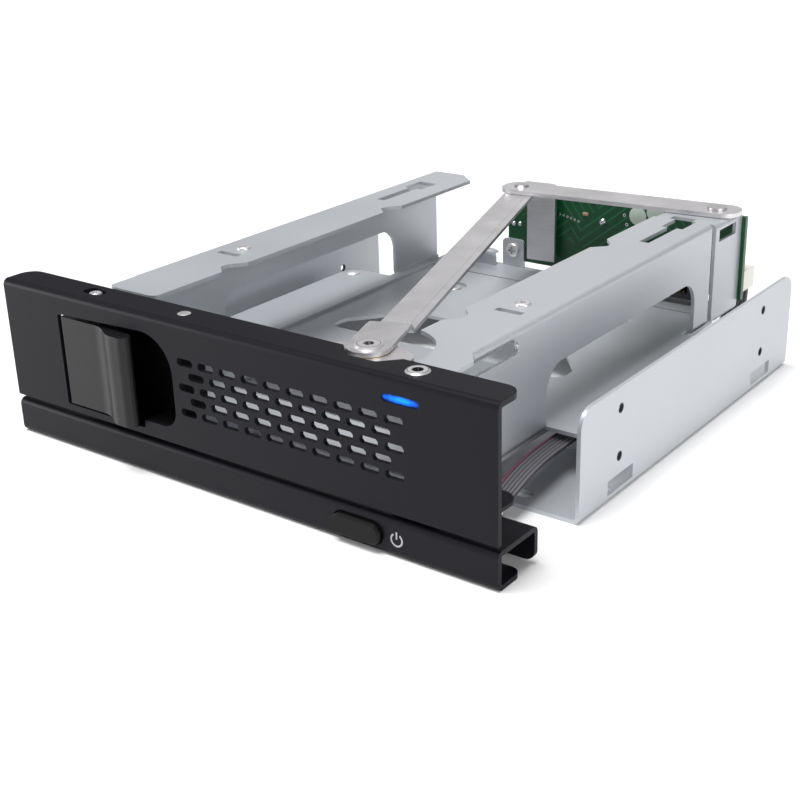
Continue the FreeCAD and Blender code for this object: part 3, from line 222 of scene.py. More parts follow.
def merged(parts):
    """One (points, faces) pair from several, with the corner numbers moved on."""
    points = []
    faces = []
    start = 0
    for part_points, part_faces in parts:
        part_points = np.asarray(part_points, float).reshape(-1, 3)
        points.append(part_points)
        faces.append(np.asarray(part_faces) + start)
        start += len(part_points)
    return np.concatenate(points), np.concatenate(faces)


def placed(points, centre, turn_to):
    """Points about the upright axis, turned another way if one is given, then moved to their centre."""
    if turn_to is not None:
        points = points @ np.array(turn_to, float)
    return points + np.array(centre, float)


def lathed(profile, centre, turn_to=None, steps=32):
    """Profile (r, h) carried round an upright axis: x = r cos t, y = r sin t, z = h, then turned and moved.

    A profile runs from the axis at the bottom to the axis at the top, so that its faces point outwards.
    """
    profile = np.asarray(profile, float)
    t = np.linspace(0, 2 * math.pi, steps, endpoint=False)
    r = profile[None, :, 0]
    ring = np.stack([
        r * np.cos(t)[:, None], r * np.sin(t)[:, None],
        np.broadcast_to(profile[None, :, 1], (steps, len(profile))),
    ], -1)
    return placed(ring.reshape(-1, 3), centre, turn_to), grid_faces(steps, len(profile), loop_rows=True)


def rivet_head(radius, height, centre, turn_to=None):
    """Domed head over a low rim: h = height * (0.25 + 0.75 * (1 - u^2.6)), with u = r / radius."""
    u = np.array([1.0, 0.96, 0.86, 0.7, 0.5, 0.25, 0.0])
    dome = np.stack([u * radius, height * (0.25 + 0.75 * (1 - u ** 2.6))], 1)
    return lathed([(0, 0), (radius, 0), *dome.tolist()], centre, turn_to, 28)


def cross_head(radius, height, centre, turn_to=None):
    """Screw head with a cross recess: rings r(t) between rim and recess, from the underside to the axis.

    The recess follows r = min(reach / cos f, blade / sin f), with f the angle from the nearest of its arms.
    """
    steps = 48
    reach = 0.56 * radius
    blade = 0.17 * radius
    t = np.linspace(0, 2 * math.pi, steps, endpoint=False)
    f = np.abs((t + math.pi / 4) % (math.pi / 2) - math.pi / 4)
    cross = np.minimum(reach / np.cos(f), blade / np.maximum(np.sin(f), 1e-6))
    flat = 0 * t
    rings = [
        (flat, 0.0), (flat + radius, 0.0), (flat + radius, 0.35), (flat + 0.94 * radius, 0.72),
        (flat + 0.8 * radius, 0.92), (cross + 0.35 * (0.72 * radius - cross), 0.99), (cross, 0.97),
        (0.78 * cross, 0.15), (flat, 0.05),
    ]
    r = np.stack([ring for ring, level in rings], 1)
    h = np.stack([flat + level * height for ring, level in rings], 1)
    points = np.stack([r * np.cos(t)[:, None], r * np.sin(t)[:, None], h], -1).reshape(-1, 3)
    return placed(points, centre, turn_to), grid_faces(steps, len(rings), loop_rows=True)


def brick(low, high):
    """Box between two corners: the eight combinations of their coordinates."""
    low = np.array(low, float)
    high = np.array(high, float)
    bits = np.array([[i & 1, i >> 1 & 1, i >> 2 & 1] for i in range(8)])
    faces = [[0, 2, 3, 1], [4, 5, 7, 6], [0, 1, 5, 4], [2, 6, 7, 3], [0, 4, 6, 2], [1, 3, 7, 5]]
    return low + bits * (high - low), np.array(faces)


def bevelled(piece, width, segments):
    """Softens a piece's edges of more than 35 degrees with a Bevel modifier, the same in view and render."""
    modifier = piece.modifiers.new("Soft edges", "BEVEL")
    modifier.width = width
    modifier.segments = segments
    modifier.limit_method = "ANGLE"
    modifier.angle_limit = math.radians(35)
    modifier.harden_normals = False
    return piece


def finish_piece(piece, body, material):
    """Gives a new piece its body and its material."""
    piece.data.materials.clear()
    piece.data.materials.append(material)
    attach(piece, body)
    return piece


def at(x, back, z):
    """Place given in millimetres, with its distance behind the face."""
    return x * MM, FACE_Y + back * MM, z * MM


# Turns that bring the lathe's +Z to other directions: rows are the images of x, y and z.
TO_FRONT = ((1, 0, 0), (0, 0, 1), (0, -1, 0))
TO_BACK = ((1, 0, 0), (0, 0, -1), (0, 1, 0))
DOWN = ((1, 0, 0), (0, -1, 0), (0, 0, -1))
TO_RIGHT = ((0, 0, -1), (0, 1, 0), (1, 0, 0))
TO_LEFT = ((0, 0, 1), (0, 1, 0), (-1, 0, 0))


# ---------------------------------------------------------------- shader node groups
def effect(name, **settings):
    """Node group with Vector, Colour, Roughness and its settings in, and Colour, Roughness and Height out."""
    tree = bpy.data.node_groups.new(name, "ShaderNodeTree")
    tree.interface.new_socket(name="Vector", in_out="INPUT", socket_type="NodeSocketVector")
    tree.interface.new_socket(name="Colour", in_out="INPUT", socket_type="NodeSocketColor")
    for label, value in {"Roughness": 0.4, **settings}.items():
        socket = tree.interface.new_socket(name=label, in_out="INPUT", socket_type="NodeSocketFloat")
        socket.default_value = value
    tree.interface.new_socket(name="Colour", in_out="OUTPUT", socket_type="NodeSocketColor")
    tree.interface.new_socket(name="Roughness", in_out="OUTPUT", socket_type="NodeSocketFloat")
    tree.interface.new_socket(name="Height", in_out="OUTPUT", socket_type="NodeSocketFloat")
    return tree, tree.nodes.new("NodeGroupInput").outputs, tree.nodes.new("NodeGroupOutput").inputs


def add(tree, kind, inputs=None, **settings):
    """Node with its settings made and its sockets linked or set."""
    node = tree.nodes.new(kind)
    for key, value in settings.items():
        setattr(node, key, value)
    for key, value in (inputs or {}).items():
        if isinstance(value, bpy.types.NodeSocket):
            tree.links.new(value, node.inputs[key])
        else:
            node.inputs[key].default_value = value
    return node


def noise(tree, vector, scale, detail=2.0):
    """Noise of about 0 to 1 that changes over the surface."""
    return add(tree, "ShaderNodeTexNoise", {"Vector": vector, "Scale": scale, "Detail": detail}).outputs[0]


def vector_node(tree, operation, a, b, output=0):
    return add(tree, "ShaderNodeVectorMath", {0: a, 1: b}, operation=operation).outputs[output]


def math_node(tree, operation, a, b=None, clamp=False):
    inputs = {0: a} if b is None else {0: a, 1: b}
    return add(tree, "ShaderNodeMath", inputs, operation=operation, use_clamp=clamp).outputs[0]


def blend_colours(tree, factor, a, b, mode="MIX"):
    """Colour a where the factor is 0, b where it is 1. The Mix node's colour sockets are 6 and 7."""
    node = add(tree, "ShaderNodeMix", data_type="RGBA", blend_type=mode)
    for number, value in ((0, factor), (6, a), (7, b)):
        if isinstance(value, bpy.types.NodeSocket):
            tree.links.new(value, node.inputs[number])
        else:
            node.inputs[number].default_value = value
    return node.outputs[2]


def ramp(tree, factor, low, high):
    """0 under low, 1 over high, straight between."""
    node = add(tree, "ShaderNodeMapRange", {"Value": factor, "From Min": low, "From Max": high})
    return node.outputs[0]


def swing_of(tree, value):
    """A noise moved to swing about 0."""
    return math_node(tree, "SUBTRACT", value, 0.5)


def toned(tree, colour, swing, depth):
    """Colour times 1 + swing * depth."""
    tone = math_node(tree, "ADD", math_node(tree, "MULTIPLY", swing, depth), 1.0)
    grey = add(tree, "ShaderNodeCombineColor", {0: tone, 1: tone, 2: tone}).outputs[0]
    return blend_colours(tree, 1.0, colour, grey, "MULTIPLY")


def put_out(tree, given, colour, roughness, height):
    """Links an effect's three results to its outputs."""
    for value, socket in zip((colour, roughness, height), given):
        tree.links.new(value, socket)


def coat_group():
    """Sprayed coat: a fine orange-peel height and slow changes of tone and gloss."""
    tree, taken, given = effect("Sprayed coat", Peel=2200.0, Tone=0.08)
    swing = swing_of(tree, noise(tree, taken["Vector"], 28.0, 3.0))
    rough = math_node(tree, "ADD", taken["Roughness"], math_node(tree, "MULTIPLY", swing, 0.18))
    peel = noise(tree, taken["Vector"], taken["Peel"])
    put_out(tree, given, toned(tree, taken["Colour"], swing, taken["Tone"]), rough, peel)


def brushing_group():
    """Brushed metal: noise stretched along X of the given vector for tone, roughness and height."""
    tree, taken, given = effect("Brushing", Lines=1500.0, Depth=0.25, Stains=0.5)
    stretch = vector_node(tree, "MULTIPLY", taken["Vector"], (0.02, 1.0, 1.0))
    lines = noise(tree, stretch, taken["Lines"], 3.0)
    drift = swing_of(tree, noise(tree, taken["Vector"], 110.0, 4.0))
    swing = math_node(tree, "ADD", swing_of(tree, lines), math_node(tree, "MULTIPLY", drift, taken["Stains"]))
    rough = math_node(tree, "ADD", taken["Roughness"], math_node(tree, "MULTIPLY", swing, 0.25), clamp=True)
    put_out(tree, given, toned(tree, taken["Colour"], swing, taken["Depth"]), rough, lines)


def moulding_group():
    """Moulded plastic: spark-eroded grain for the height and faint rubbed patches in the roughness."""
    tree, taken, given = effect("Moulded grain", Grain=3000.0)
    grain = add(tree, "ShaderNodeTexVoronoi", {"Vector": taken["Vector"], "Scale": taken["Grain"]}).outputs[0]
    swing = swing_of(tree, noise(tree, taken["Vector"], 90.0, 4.0))
    rough = math_node(tree, "ADD", taken["Roughness"], math_node(tree, "MULTIPLY", swing, 0.2))
    put_out(tree, given, toned(tree, taken["Colour"], swing, 0.12), rough, grain)


# ---------------------------------------------------------------- materials
MATERIALS = {}


def blank_material(name):
    """New material, kept under its name: gives its node tree, Principled shader and Object coordinates."""
    material = bpy.data.materials.new(name)
    MATERIALS[name] = material
    material.use_nodes = True
    tree = material.node_tree
    tree.nodes.clear()
    shader = tree.nodes.new("ShaderNodeBsdfPrincipled")
    out = tree.nodes.new("ShaderNodeOutputMaterial")
    tree.links.new(shader.outputs[0], out.inputs[0])
    return tree, shader, tree.nodes.new("ShaderNodeTexCoord").outputs["Object"]


def scaled(colour, factor):
    """Colour with its alpha, times a factor."""
    return (*(min(1.0, factor * c) for c in colour), 1)


def shades(tree, factor, colour, low, high):
    """From low to high times the colour."""
    return blend_colours(tree, factor, scaled(colour, low), scaled(colour, high))


def surface(tree, shader, colour, height=None, strength=0.0, distance=0.02 * MM, **sockets):
    """Links a colour and a bump to the shader and sets its other sockets."""
    tree.links.new(colour, shader.inputs["Base Color"])
    if height is not None:
        bump = add(tree, "ShaderNodeBump", {"Height": height, "Strength": strength, "Distance": distance})
        tree.links.new(bump.outputs[0], shader.inputs["Normal"])
    for key, value in sockets.items():
        shader.inputs[key.replace("_", " ")].default_value = value


def textured(name, group, colour, settings, bump, turn=(0, 0, 0), **sockets):
    """Material whose colour, roughness and bump come from one of the shared effects."""
    tree, shader, vector = blank_material(name)
    mapping = add(tree, "ShaderNodeMapping", {"Vector": vector, "Rotation": turn})
    node = tree.nodes.new("ShaderNodeGroup")
    node.node_tree = bpy.data.node_groups[group]
    tree.links.new(mapping.outputs[0], node.inputs["Vector"])
    node.inputs["Colour"].default_value = (*colour, 1)
    for key, value in settings.items():
        node.inputs[key].default_value = value
    tree.links.new(node.outputs["Roughness"], shader.inputs["Roughness"])
    surface(tree, shader, node.outputs["Colour"], node.outputs["Height"], bump, **sockets)


def clear_material(name, colour):
    """Clear moulded plastic with faint flow marks."""
    tree, shader, vector = blank_material(name)
    surface(tree, shader, shades(tree, noise(tree, vector, 400.0), colour, 1.0, 1.05),
            Roughness=0.04, IOR=1.49, Transmission_Weight=0.92)


def from_middle(tree, vector, node):
    """Object coordinates measured from the middle of a node's box."""
    low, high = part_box(node)
    return vector_node(tree, "SUBTRACT", vector, tuple((low + high) / 2))


def window_material(paints):
    """Window lit from behind: brightest in its middle, fading unevenly with u^2 + v^2 towards its rim."""
    tree, shader, vector = blank_material("light_blue")
    low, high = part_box("light_window")
    scale = (2 / (high.x - low.x), 0.0, 2 / (high.z - low.z))
    unit = vector_node(tree, "MULTIPLY", from_middle(tree, vector, "light_window"), scale)
    span = vector_node(tree, "DOT_PRODUCT", unit, unit, "Value")
    cloud = noise(tree, vector, 900.0)
    uneven = math_node(tree, "ADD", span, math_node(tree, "MULTIPLY", cloud, 0.9))
    lit = ramp(tree, uneven, 1.45, 0.95)
    hot = ramp(tree, uneven, 0.95, 0.50)
    rim = blend_colours(tree, lit, (0.0, 0.002, 0.03, 1), (*paints.glow, 1))
    light = blend_colours(tree, hot, rim, (0.005, 0.42, 1.0, 1))
    tree.links.new(light, shader.inputs["Emission Color"])
    unlit = blend_colours(tree, cloud, (0.0, 0.01, 0.08, 1), (0.0, 0.02, 0.12, 1))
    surface(tree, shader, unlit, Emission_Strength=1.0, Specular_IOR_Level=0.15, Roughness=0.35)


def board_material(paints):
    """Solder mask over slanting tracks: bands in two directions, kept in some cells, under a slow cloud."""
    tree, shader, vector = blank_material("board_green")
    slant = (math.pi / 2, 0, math.radians(38))
    turned = add(tree, "ShaderNodeMapping", {"Vector": vector, "Rotation": slant}).outputs[0]
    bands = [
        add(tree, "ShaderNodeTexWave", {"Vector": turned, "Scale": 130.0}, bands_direction=axis).outputs[1]
        for axis in ("X", "Y")
    ]
    cells = add(tree, "ShaderNodeTexVoronoi", {"Vector": turned, "Scale": 70.0}, distance="CHEBYCHEV")
    shade = add(tree, "ShaderNodeSeparateColor", {0: cells.outputs["Color"]})
    pick = ramp(tree, shade.outputs[0], 0.45, 0.55)
    choice = add(tree, "ShaderNodeMix", {0: pick, 2: bands[0], 3: bands[1]})
    kept = ramp(tree, shade.outputs[1], 0.50, 0.52)
    lines = math_node(tree, "MULTIPLY", ramp(tree, choice.outputs[0], 0.86, 0.94), kept)
    bright = tuple(min(1.0, c * 1.8 + 0.004) for c in paints.mask)
    ground = shades(tree, noise(tree, vector, 45.0), paints.mask, 0.75, 1.0)
    green = blend_colours(tree, lines, ground, (*bright, 1))
    surface(tree, shader, green, lines, 0.3, 0.03 * MM, Roughness=0.3)


def socket_shade_material(name, node, steel, socket, groove):
    """Steel of a socket screw, with painted shade within the socket's radius and in a fine turned groove
    about its axis.
    """
    tree, shader, vector = blank_material(name)
    flat = vector_node(tree, "MULTIPLY", from_middle(tree, vector, node), (1.0, 1.0, 0.0))
    reach = add(tree, "ShaderNodeVectorMath", {0: flat}, operation="LENGTH").outputs["Value"]
    socket_shade_mask = ramp(tree, reach, socket * 0.96, socket * 1.06)
    off_groove = math_node(tree, "ABSOLUTE", math_node(tree, "SUBTRACT", reach, groove))
    turned = ramp(tree, off_groove, 0.06 * MM, 0.16 * MM)
    lines = noise(tree, vector, 2600.0)
    # Painted shade: inside the socket's radius the steel is darkened to a tenth, standing in for the shade in
    # the recess.
    body = blend_colours(tree, socket_shade_mask, scaled(steel, 0.10), shades(tree, lines, steel, 0.92, 1.12))
    # Painted shade: a thin ring at the groove's radius is darkened to 0.35 of the steel.
    groove_shaded = blend_colours(tree, turned, scaled(steel, 0.35), body)
    surface(tree, shader, groove_shaded, lines, 0.1, Metallic=0.75, Roughness=0.38)


def cable_material(paints):
    """Jacket of the flat cable: painted shade in the grooves between the wires, read from the attribute mark,
    and a tinted first wire.
    """
    tree, shader, vector = blank_material("ribbon_grey")
    mark = add(tree, "ShaderNodeAttribute", attribute_name="mark").outputs["Fac"]
    off_wire = math_node(tree, "ABSOLUTE", swing_of(tree, math_node(tree, "FRACT", mark)))
    groove = ramp(tree, off_wire, 0.30, 0.48)
    cloud = noise(tree, vector, 150.0)
    jacket = shades(tree, cloud, paints.cable, 0.92, 1.0)
    striped = blend_colours(tree, ramp(tree, mark, 1.02, 0.98), jacket, (*paints.first_wire, 1))
    # Painted shade: the grooves between the wires are darkened to 0.22 of the jacket.
    groove_shaded = blend_colours(tree, groove, striped, scaled(paints.cable, 0.22))
    surface(tree, shader, groove_shaded, cloud, 0.1, 0.05 * MM, Roughness=0.4)


def coated(name, colour, roughness, peel, tone, bump, **sockets):
    """Sprayed paint or zinc."""
    settings = {"Roughness": roughness, "Peel": peel, "Tone": tone}
    textured(name, "Sprayed coat", colour, settings, bump, **sockets)


def brushed(name, colour, roughness, lines, depth, bump, metallic, turn=(0, 0, 0), stains=0.5):
    """Metal with drawn lines along X, or along X turned."""
    settings = {"Roughness": roughness, "Lines": lines, "Depth": depth, "Stains": stains}
    textured(name, "Brushing", colour, settings, bump, turn, Metallic=metallic)


def moulded(name, colour, roughness, grain, bump, **sockets):
    """Plastic, and other surfaces with a fine even grain."""
    textured(name, "Moulded grain", colour, {"Roughness": roughness, "Grain": grain}, bump, **sockets)


def make_materials(paints):
    """Builds the shared effects, then every finish of the cage."""
    coat_group()
    brushing_group()
    moulding_group()
    steel = tuple(paints.steel)
    coated("bezel_black", paints.bezel, paints.bezel_gloss, 1800.0, 0.12, 0.2, Specular_IOR_Level=0.16)
    coated("chassis_grey", paints.chassis, 0.42, 2600.0, 0.05, 0.06, Metallic=0.50)

    moulded("handle_black", paints.handle, 0.38, 4200.0, 0.08, Specular_IOR_Level=0.35)
    # Painted shade: darker, duller plastic in the handle's pocket, for the shade in the recess.
    moulded("pocket_painted_shade_black", paints.pocket, 0.6, 4200.0, 0.08, Specular_IOR_Level=0.15)
    moulded("button_black", paints.button, 0.5, 4200.0, 0.08, Specular_IOR_Level=0.2)
    moulded("connector_black", paints.dark_plastic, 0.45, 3000.0, 0.1)
    moulded("connector_white", paints.pale_plastic, 0.45, 3000.0, 0.1)
    moulded("part_dark", paints.dark_chip, 0.4, 5000.0, 0.05)
    moulded("part_tan", paints.tan_chip, 0.4, 5000.0, 0.05)
    moulded("solder", paints.solder, 0.28, 1500.0, 0.1, Metallic=1.0)
    moulded("sticker_pale", paints.sticker, 0.5, 2500.0, 0.05)
    moulded("print_pale", paints.ink, 0.5, 2500.0, 0.05)

    low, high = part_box("link_arm")
    slope = math.atan2(high.y - low.y, low.x - high.x)
    brushed("bright_steel", steel, 0.32, 2200.0, 0.12, 0.1, 1.0)
    brushed("arm_steel", steel, 0.36, 1100.0, 0.22, 0.1, 0.85, (0, 0, slope), stains=1.3)
    brushed("lever_steel", steel, 0.36, 1100.0, 0.22, 0.1, 0.85, stains=1.3)
    brushed("screw_steel", [1.08 * c for c in steel], 0.40, 2600.0, 0.2, 0.15, 0.8)
    # Painted shade: the threads inside the wall holes are steel darkened to 0.16, standing in for the shade
    # in the holes.
    brushed("thread_painted_shade", [0.16 * c for c in steel], 0.45, 2600.0, 0.2, 0.1, 0.6)
    brushed("washer_brass", paints.brass, 0.30, 2500.0, 0.1, 0.1, 1.0)
    brushed("contact_gold", paints.brass, 0.22, 3000.0, 0.1, 0.05, 1.0)

    # Painted shade in the screws' sockets and turned grooves.
    socket_shade_material("hinge_socket_shaded", "hinge_screw", steel, 1.25 * MM, 2.2 * MM)
    socket_shade_material("link_socket_shaded", "link_screw", steel, 1.15 * MM, 2.6 * MM)
    cable_material(paints)
    window_material(paints)
    clear_material("guide_clear", paints.guide)
    board_material(paints)


def node_material(node, material):
    """Puts a material on a CAD node without touching its mesh."""
    mesh_object = NODES[node]
    if not mesh_object.material_slots:
        raise RuntimeError(f"{node} has no material slot")
    for index in range(len(mesh_object.material_slots)):
        mesh_object.material_slots[index].link = "OBJECT"
        mesh_object.material_slots[index].material = material


# ---------------------------------------------------------------- operators
class CAGE_OT_finishes(bpy.types.Operator):
    """Builds the finishes and puts them on the nodes of the frame."""

    bl_idname = "cage.finishes"
    bl_label = "Finishes"

    def execute(self, context):
        make_materials(context.scene.cage_paints)
        # Nodes whose finish is not simply that of their slot.
        own_finish = {
            "link_arm": "arm_steel", "eject_lever": "lever_steel", "link_plate": "lever_steel",
            "hinge_screw": "hinge_socket_shaded", "link_screw": "link_socket_shaded", "handle_pocket": "pocket_painted_shade_black",
            "power_button": "button_black",
        }
        for node, slot in SLOT_OF.items():
            node_material(node, MATERIALS[own_finish.get(node, slot)])
        return {"FINISHED"}


class CAGE_OT_stage(bpy.types.Operator):
    """Pale floor, soft lights and the camera."""

    bl_idname = "cage.stage"
    bl_label = "Stage"

    def execute(self, context):
        scene = context.scene
        studio = scene.cage_studio
        self.floor(studio.floor)
        self.sky(scene, studio.sky)
        sun = bpy.data.lights.new("high_sun", "SUN")
        sun.energy = studio.sun
        sun.angle = math.radians(35)
        self.hang(sun, (0.0, 0.0, 0.0), (0.12, 0.22, -1.2))
        middle = (0.0, 0.0, 0.02)
        self.softbox("right_softbox", (1.2, -0.45, 0.33), middle, 0.8, studio.side)
        self.softbox("left_softbox", (-0.70, -0.48, 0.10), (-0.05, -0.08, 0.02), 0.4, studio.front)
        self.softbox("back_softbox", (-0.3, 0.9, 0.6), middle, 0.8, studio.back)
        self.camera(studio)
        scene.view_settings.view_transform = "Standard"
        return {"FINISHED"}

    def floor(self, pale):
        """Wide square just under the cage."""
        half = 8.0
        drop = -0.05 * MM
        corners = [(x * half, y * half, drop) for x, y in ((-1, -1), (1, -1), (1, 1), (-1, 1))]
        floor = add_mesh("studio_floor", corners, [[0, 1, 2, 3]], smooth=False)
        tree, shader, vector = blank_material("floor_pale")
        tone = shades(tree, noise(tree, vector, 6.0), pale, 1.0, 1.02)
        surface(tree, shader, tone, Roughness=0.9, Specular_IOR_Level=0.1)
        floor.data.materials.append(MATERIALS["floor_pale"])

    def sky(self, scene, strength):
        """Even light from all sides, with plain white behind the floor's far edge."""
        world = bpy.data.worlds.new("studio")
        world.use_nodes = True
        tree = world.node_tree
        sky = tree.nodes["Background"]
        white = (1.0, 1.0, 1.0, 1)
        sky.inputs[0].default_value = white
        sky.inputs[1].default_value = strength
        backdrop = add(tree, "ShaderNodeBackground", {"Color": white, "Strength": 1.0})
        seen = add(tree, "ShaderNodeLightPath").outputs["Is Camera Ray"]
        both = add(tree, "ShaderNodeMixShader", {0: seen, 1: sky.outputs[0], 2: backdrop.outputs[0]})
        tree.links.new(both.outputs[0], tree.nodes["World Output"].inputs[0])
        scene.world = world

    def softbox(self, name, place, target, side, power):
        """Square area light that looks at a target."""
        data = bpy.data.lights.new(name, "AREA")
        data.shape = "SQUARE"
        data.size = side
        data.energy = power
        self.hang(data, place, target)

    def hang(self, data, place, target):
        """Puts a light at a place, turned to its target."""
        lamp = bpy.data.objects.new(data.name, data)
        lamp.location = place
        lamp.rotation_euler = (Vector(target) - Vector(place)).to_track_quat("-Z", "Y").to_euler()
        bpy.context.scene.collection.objects.link(lamp)

    def camera(self, studio):
        """Camera that looks along azimuth and elevation, then turned by its roll."""
        data = bpy.data.cameras.new("camera")
        data.lens = studio.lens
        data.clip_start = 0.01
        data.clip_end = 20.0
        camera = bpy.data.objects.new("camera", data)
        a = studio.azimuth
        e = studio.elevation
        ahead = Vector((-math.sin(a) * math.cos(e), math.cos(a) * math.cos(e), -math.sin(e)))
        level = ahead.to_track_quat("-Z", "Y").to_matrix()
        turned = level @ Matrix.Rotation(studio.roll, 3, "Z")
        camera.matrix_world = Matrix.Translation(Vector(studio.place)) @ turned.to_4x4()
        bpy.context.scene.collection.objects.link(camera)
        bpy.context.scene.camera = camera


def ring_sector(centre, inner, outer, start, end, steps):
    """Flat ring in the plane of the face: x = r sin t, z = r cos t, between two radii and two angles."""
    t = np.linspace(start, end, steps)
    r = np.array([inner, outer])
    x = centre[0] + r[None, :] * np.sin(t)[:, None]
    z = centre[2] + r[None, :] * np.cos(t)[:, None]
    points = np.stack([x, np.full_like(x, centre[1]), z], -1)
    return points.reshape(-1, 3), grid_faces(steps, 2)[:, ::-1]


class CAGE_OT_power_mark(bpy.types.Operator):
    """Open ring and bar printed on the strip beside the button."""

    bl_idname = "cage.power_mark"
    bl_label = "Power mark"

    def execute(self, context):
        sizes = context.scene.cage_sizes
        low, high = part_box("power_button")
        radius = sizes.mark_radius
        half_line = sizes.mark_line / 2
        centre = (high.x + sizes.mark_offset, FACE_Y - PROUD, (low.z + high.z) / 2)
        x, y, z = centre
        half_gap = math.radians(34)
        ring = ring_sector(centre, radius - sizes.mark_line, radius, half_gap, 2 * math.pi - half_gap, 40)
        foot = z + 0.1 * radius
        tip = z + 1.15 * radius
        sides = ((-half_line, foot), (half_line, foot), (half_line, tip), (-half_line, tip))
        bar_points = np.array([(x + aside, y, level) for aside, level in sides])
        points, faces = merged([ring, (bar_points, np.array([[0, 1, 2, 3]]))])
        mark = add_mesh("power_mark", points, faces, smooth=False)
        solid = mark.modifiers.new("Ink", "SOLIDIFY")
        solid.thickness = PROUD
        solid.offset = -1
        finish_piece(mark, "cage", MATERIALS["print_pale"])
        return {"FINISHED"}


def cable_route():
    """Points of the flat cable, given one by one, from the plug behind the strip to the rear board.

    Each is (x, distance behind the face, height) in millimetres.
    """
    points = [
        (57.45, 21.0, 5.6), (57.45, 26.0, 5.6), (57.65, 34.0, 8.6), (56.15, 46.0, 8.6),
        (55.35, 62.0, 8.0), (55.25, 82.0, 5.7), (55.45, 102.0, 6.0), (55.35, 120.0, 5.6),
        (54.45, 137.0, 5.8), (52.85, 151.0, 5.7), (51.05, 162.0, 6.5), (50.05, 169.0, 8.9),
        (50.05, 169.0, 14.6),
    ]
    return [at(*point) for point in points]


def spline_points(route):
    """Points along the route's NURBS spline, as a mesh made from the curve gives them."""
    curve = bpy.data.curves.new("route", "CURVE")
    curve.dimensions = "3D"
    spline = curve.splines.new("NURBS")
    spline.points.add(len(route) - 1)
    for point, place in zip(spline.points, route):
        point.co = (*place, 1)
    spline.order_u = 3
    spline.use_endpoint_u = True
    spline.resolution_u = 8
    holder = bpy.data.objects.new("route", curve)
    bpy.context.scene.collection.objects.link(holder)
    bpy.context.view_layer.update()
    line = bpy.data.meshes.new_from_object(holder.evaluated_get(bpy.context.evaluated_depsgraph_get()))
    found = np.zeros(len(line.vertices) * 3)
    line.vertices.foreach_get("co", found)
    bpy.data.objects.remove(holder)
    bpy.data.curves.remove(curve)
    bpy.data.meshes.remove(line)
    return found.reshape(-1, 3)


def swept(section, path, side):
    """Closed section (s, h) carried along a path, as its grid of points and its faces.

    point = path + s * level + h * lift, with level the side made square to the path, lift = level x along.
    """
    along = np.gradient(path, axis=0)
    along /= np.linalg.norm(along, axis=1)[:, None]
    level = np.array(side, float) - (along @ np.array(side, float))[:, None] * along
    level /= np.linalg.norm(level, axis=1)[:, None]
    lift = np.cross(level, along)
    s, h = section.T[:, None, :, None]
    points = path[:, None, :] + s * level[:, None, :] + h * lift[:, None, :]
    return points, grid_faces(*points.shape[:2], loop_columns=True)


class CAGE_OT_ribbon(bpy.types.Operator):
    """Flat cable of round-backed wires, carried along the route's spline."""

    bl_idname = "cage.ribbon"
    bl_label = "Flat cable"

    def execute(self, context):
        sizes = context.scene.cage_sizes
        count = sizes.wires
        pitch = sizes.wire_pitch
        across = np.linspace(0, count, count * 8 + 1)
        hump = np.abs(np.sin(across * math.pi)) ** 0.5
        half = sizes.wire_thickness / 2
        height = half * (0.45 + 0.55 * hump)
        s = (across / count - 0.5) * count * pitch
        upper = np.stack([s, height], 1)
        lower = np.stack([s[::-1], -height[::-1]], 1)
        section = np.concatenate([upper, lower])
        points, faces = swept(section, spline_points(cable_route()), (1, 0, 0))
        marks = np.broadcast_to(np.concatenate([across, across[::-1]]), points.shape[:2])
        ribbon = add_mesh("flat_cable", points, faces, sharp=50, marks=marks)
        finish_piece(ribbon, "cage", MATERIALS["ribbon_grey"])
        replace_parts(ribbon, "ribbon_cable")
        return {"FINISHED"}


class CAGE_OT_handle_spring(bpy.types.Operator):
    """Return spring of the handle: wire wound round the pin, x = r cos t, y = r sin t, z rising with t."""

    bl_idname = "cage.handle_spring"
    bl_label = "Handle spring"

    def execute(self, context):
        sizes = context.scene.cage_sizes
        pin_low, pin_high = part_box("latch_pin")
        low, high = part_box("latch_spring")
        wire = sizes.spring_wire
        clearance = 0.15 * MM
        centre = (pin_low + pin_high) / 2
        radius = (pin_high.x - pin_low.x) / 2 + clearance + wire / 2
        turns = (high.z - low.z - wire) / wire * sizes.coil_fill
        t = np.linspace(0, 2 * math.pi * turns, int(turns * 20))
        rise = np.linspace(low.z + wire / 2, high.z - wire / 2, len(t))
        path = np.stack([centre.x + radius * np.cos(t), centre.y + radius * np.sin(t), rise], 1)
        ring = np.linspace(0, 2 * math.pi, 8, endpoint=False)
        section = np.stack([np.cos(ring), np.sin(ring)], 1) * wire / 2
        spring = add_mesh("handle_spring", *swept(section, path, (0, 0, 1)))
        finish_piece(spring, "door", MATERIALS["bright_steel"])
        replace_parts(spring, "latch_spring")
        return {"FINISHED"}


def both_sides(x, backs, height):
    """The same place on each side of the middle, at each distance behind the face."""
    return [(side * x, back, height) for back in backs for side in (-1, 1)]


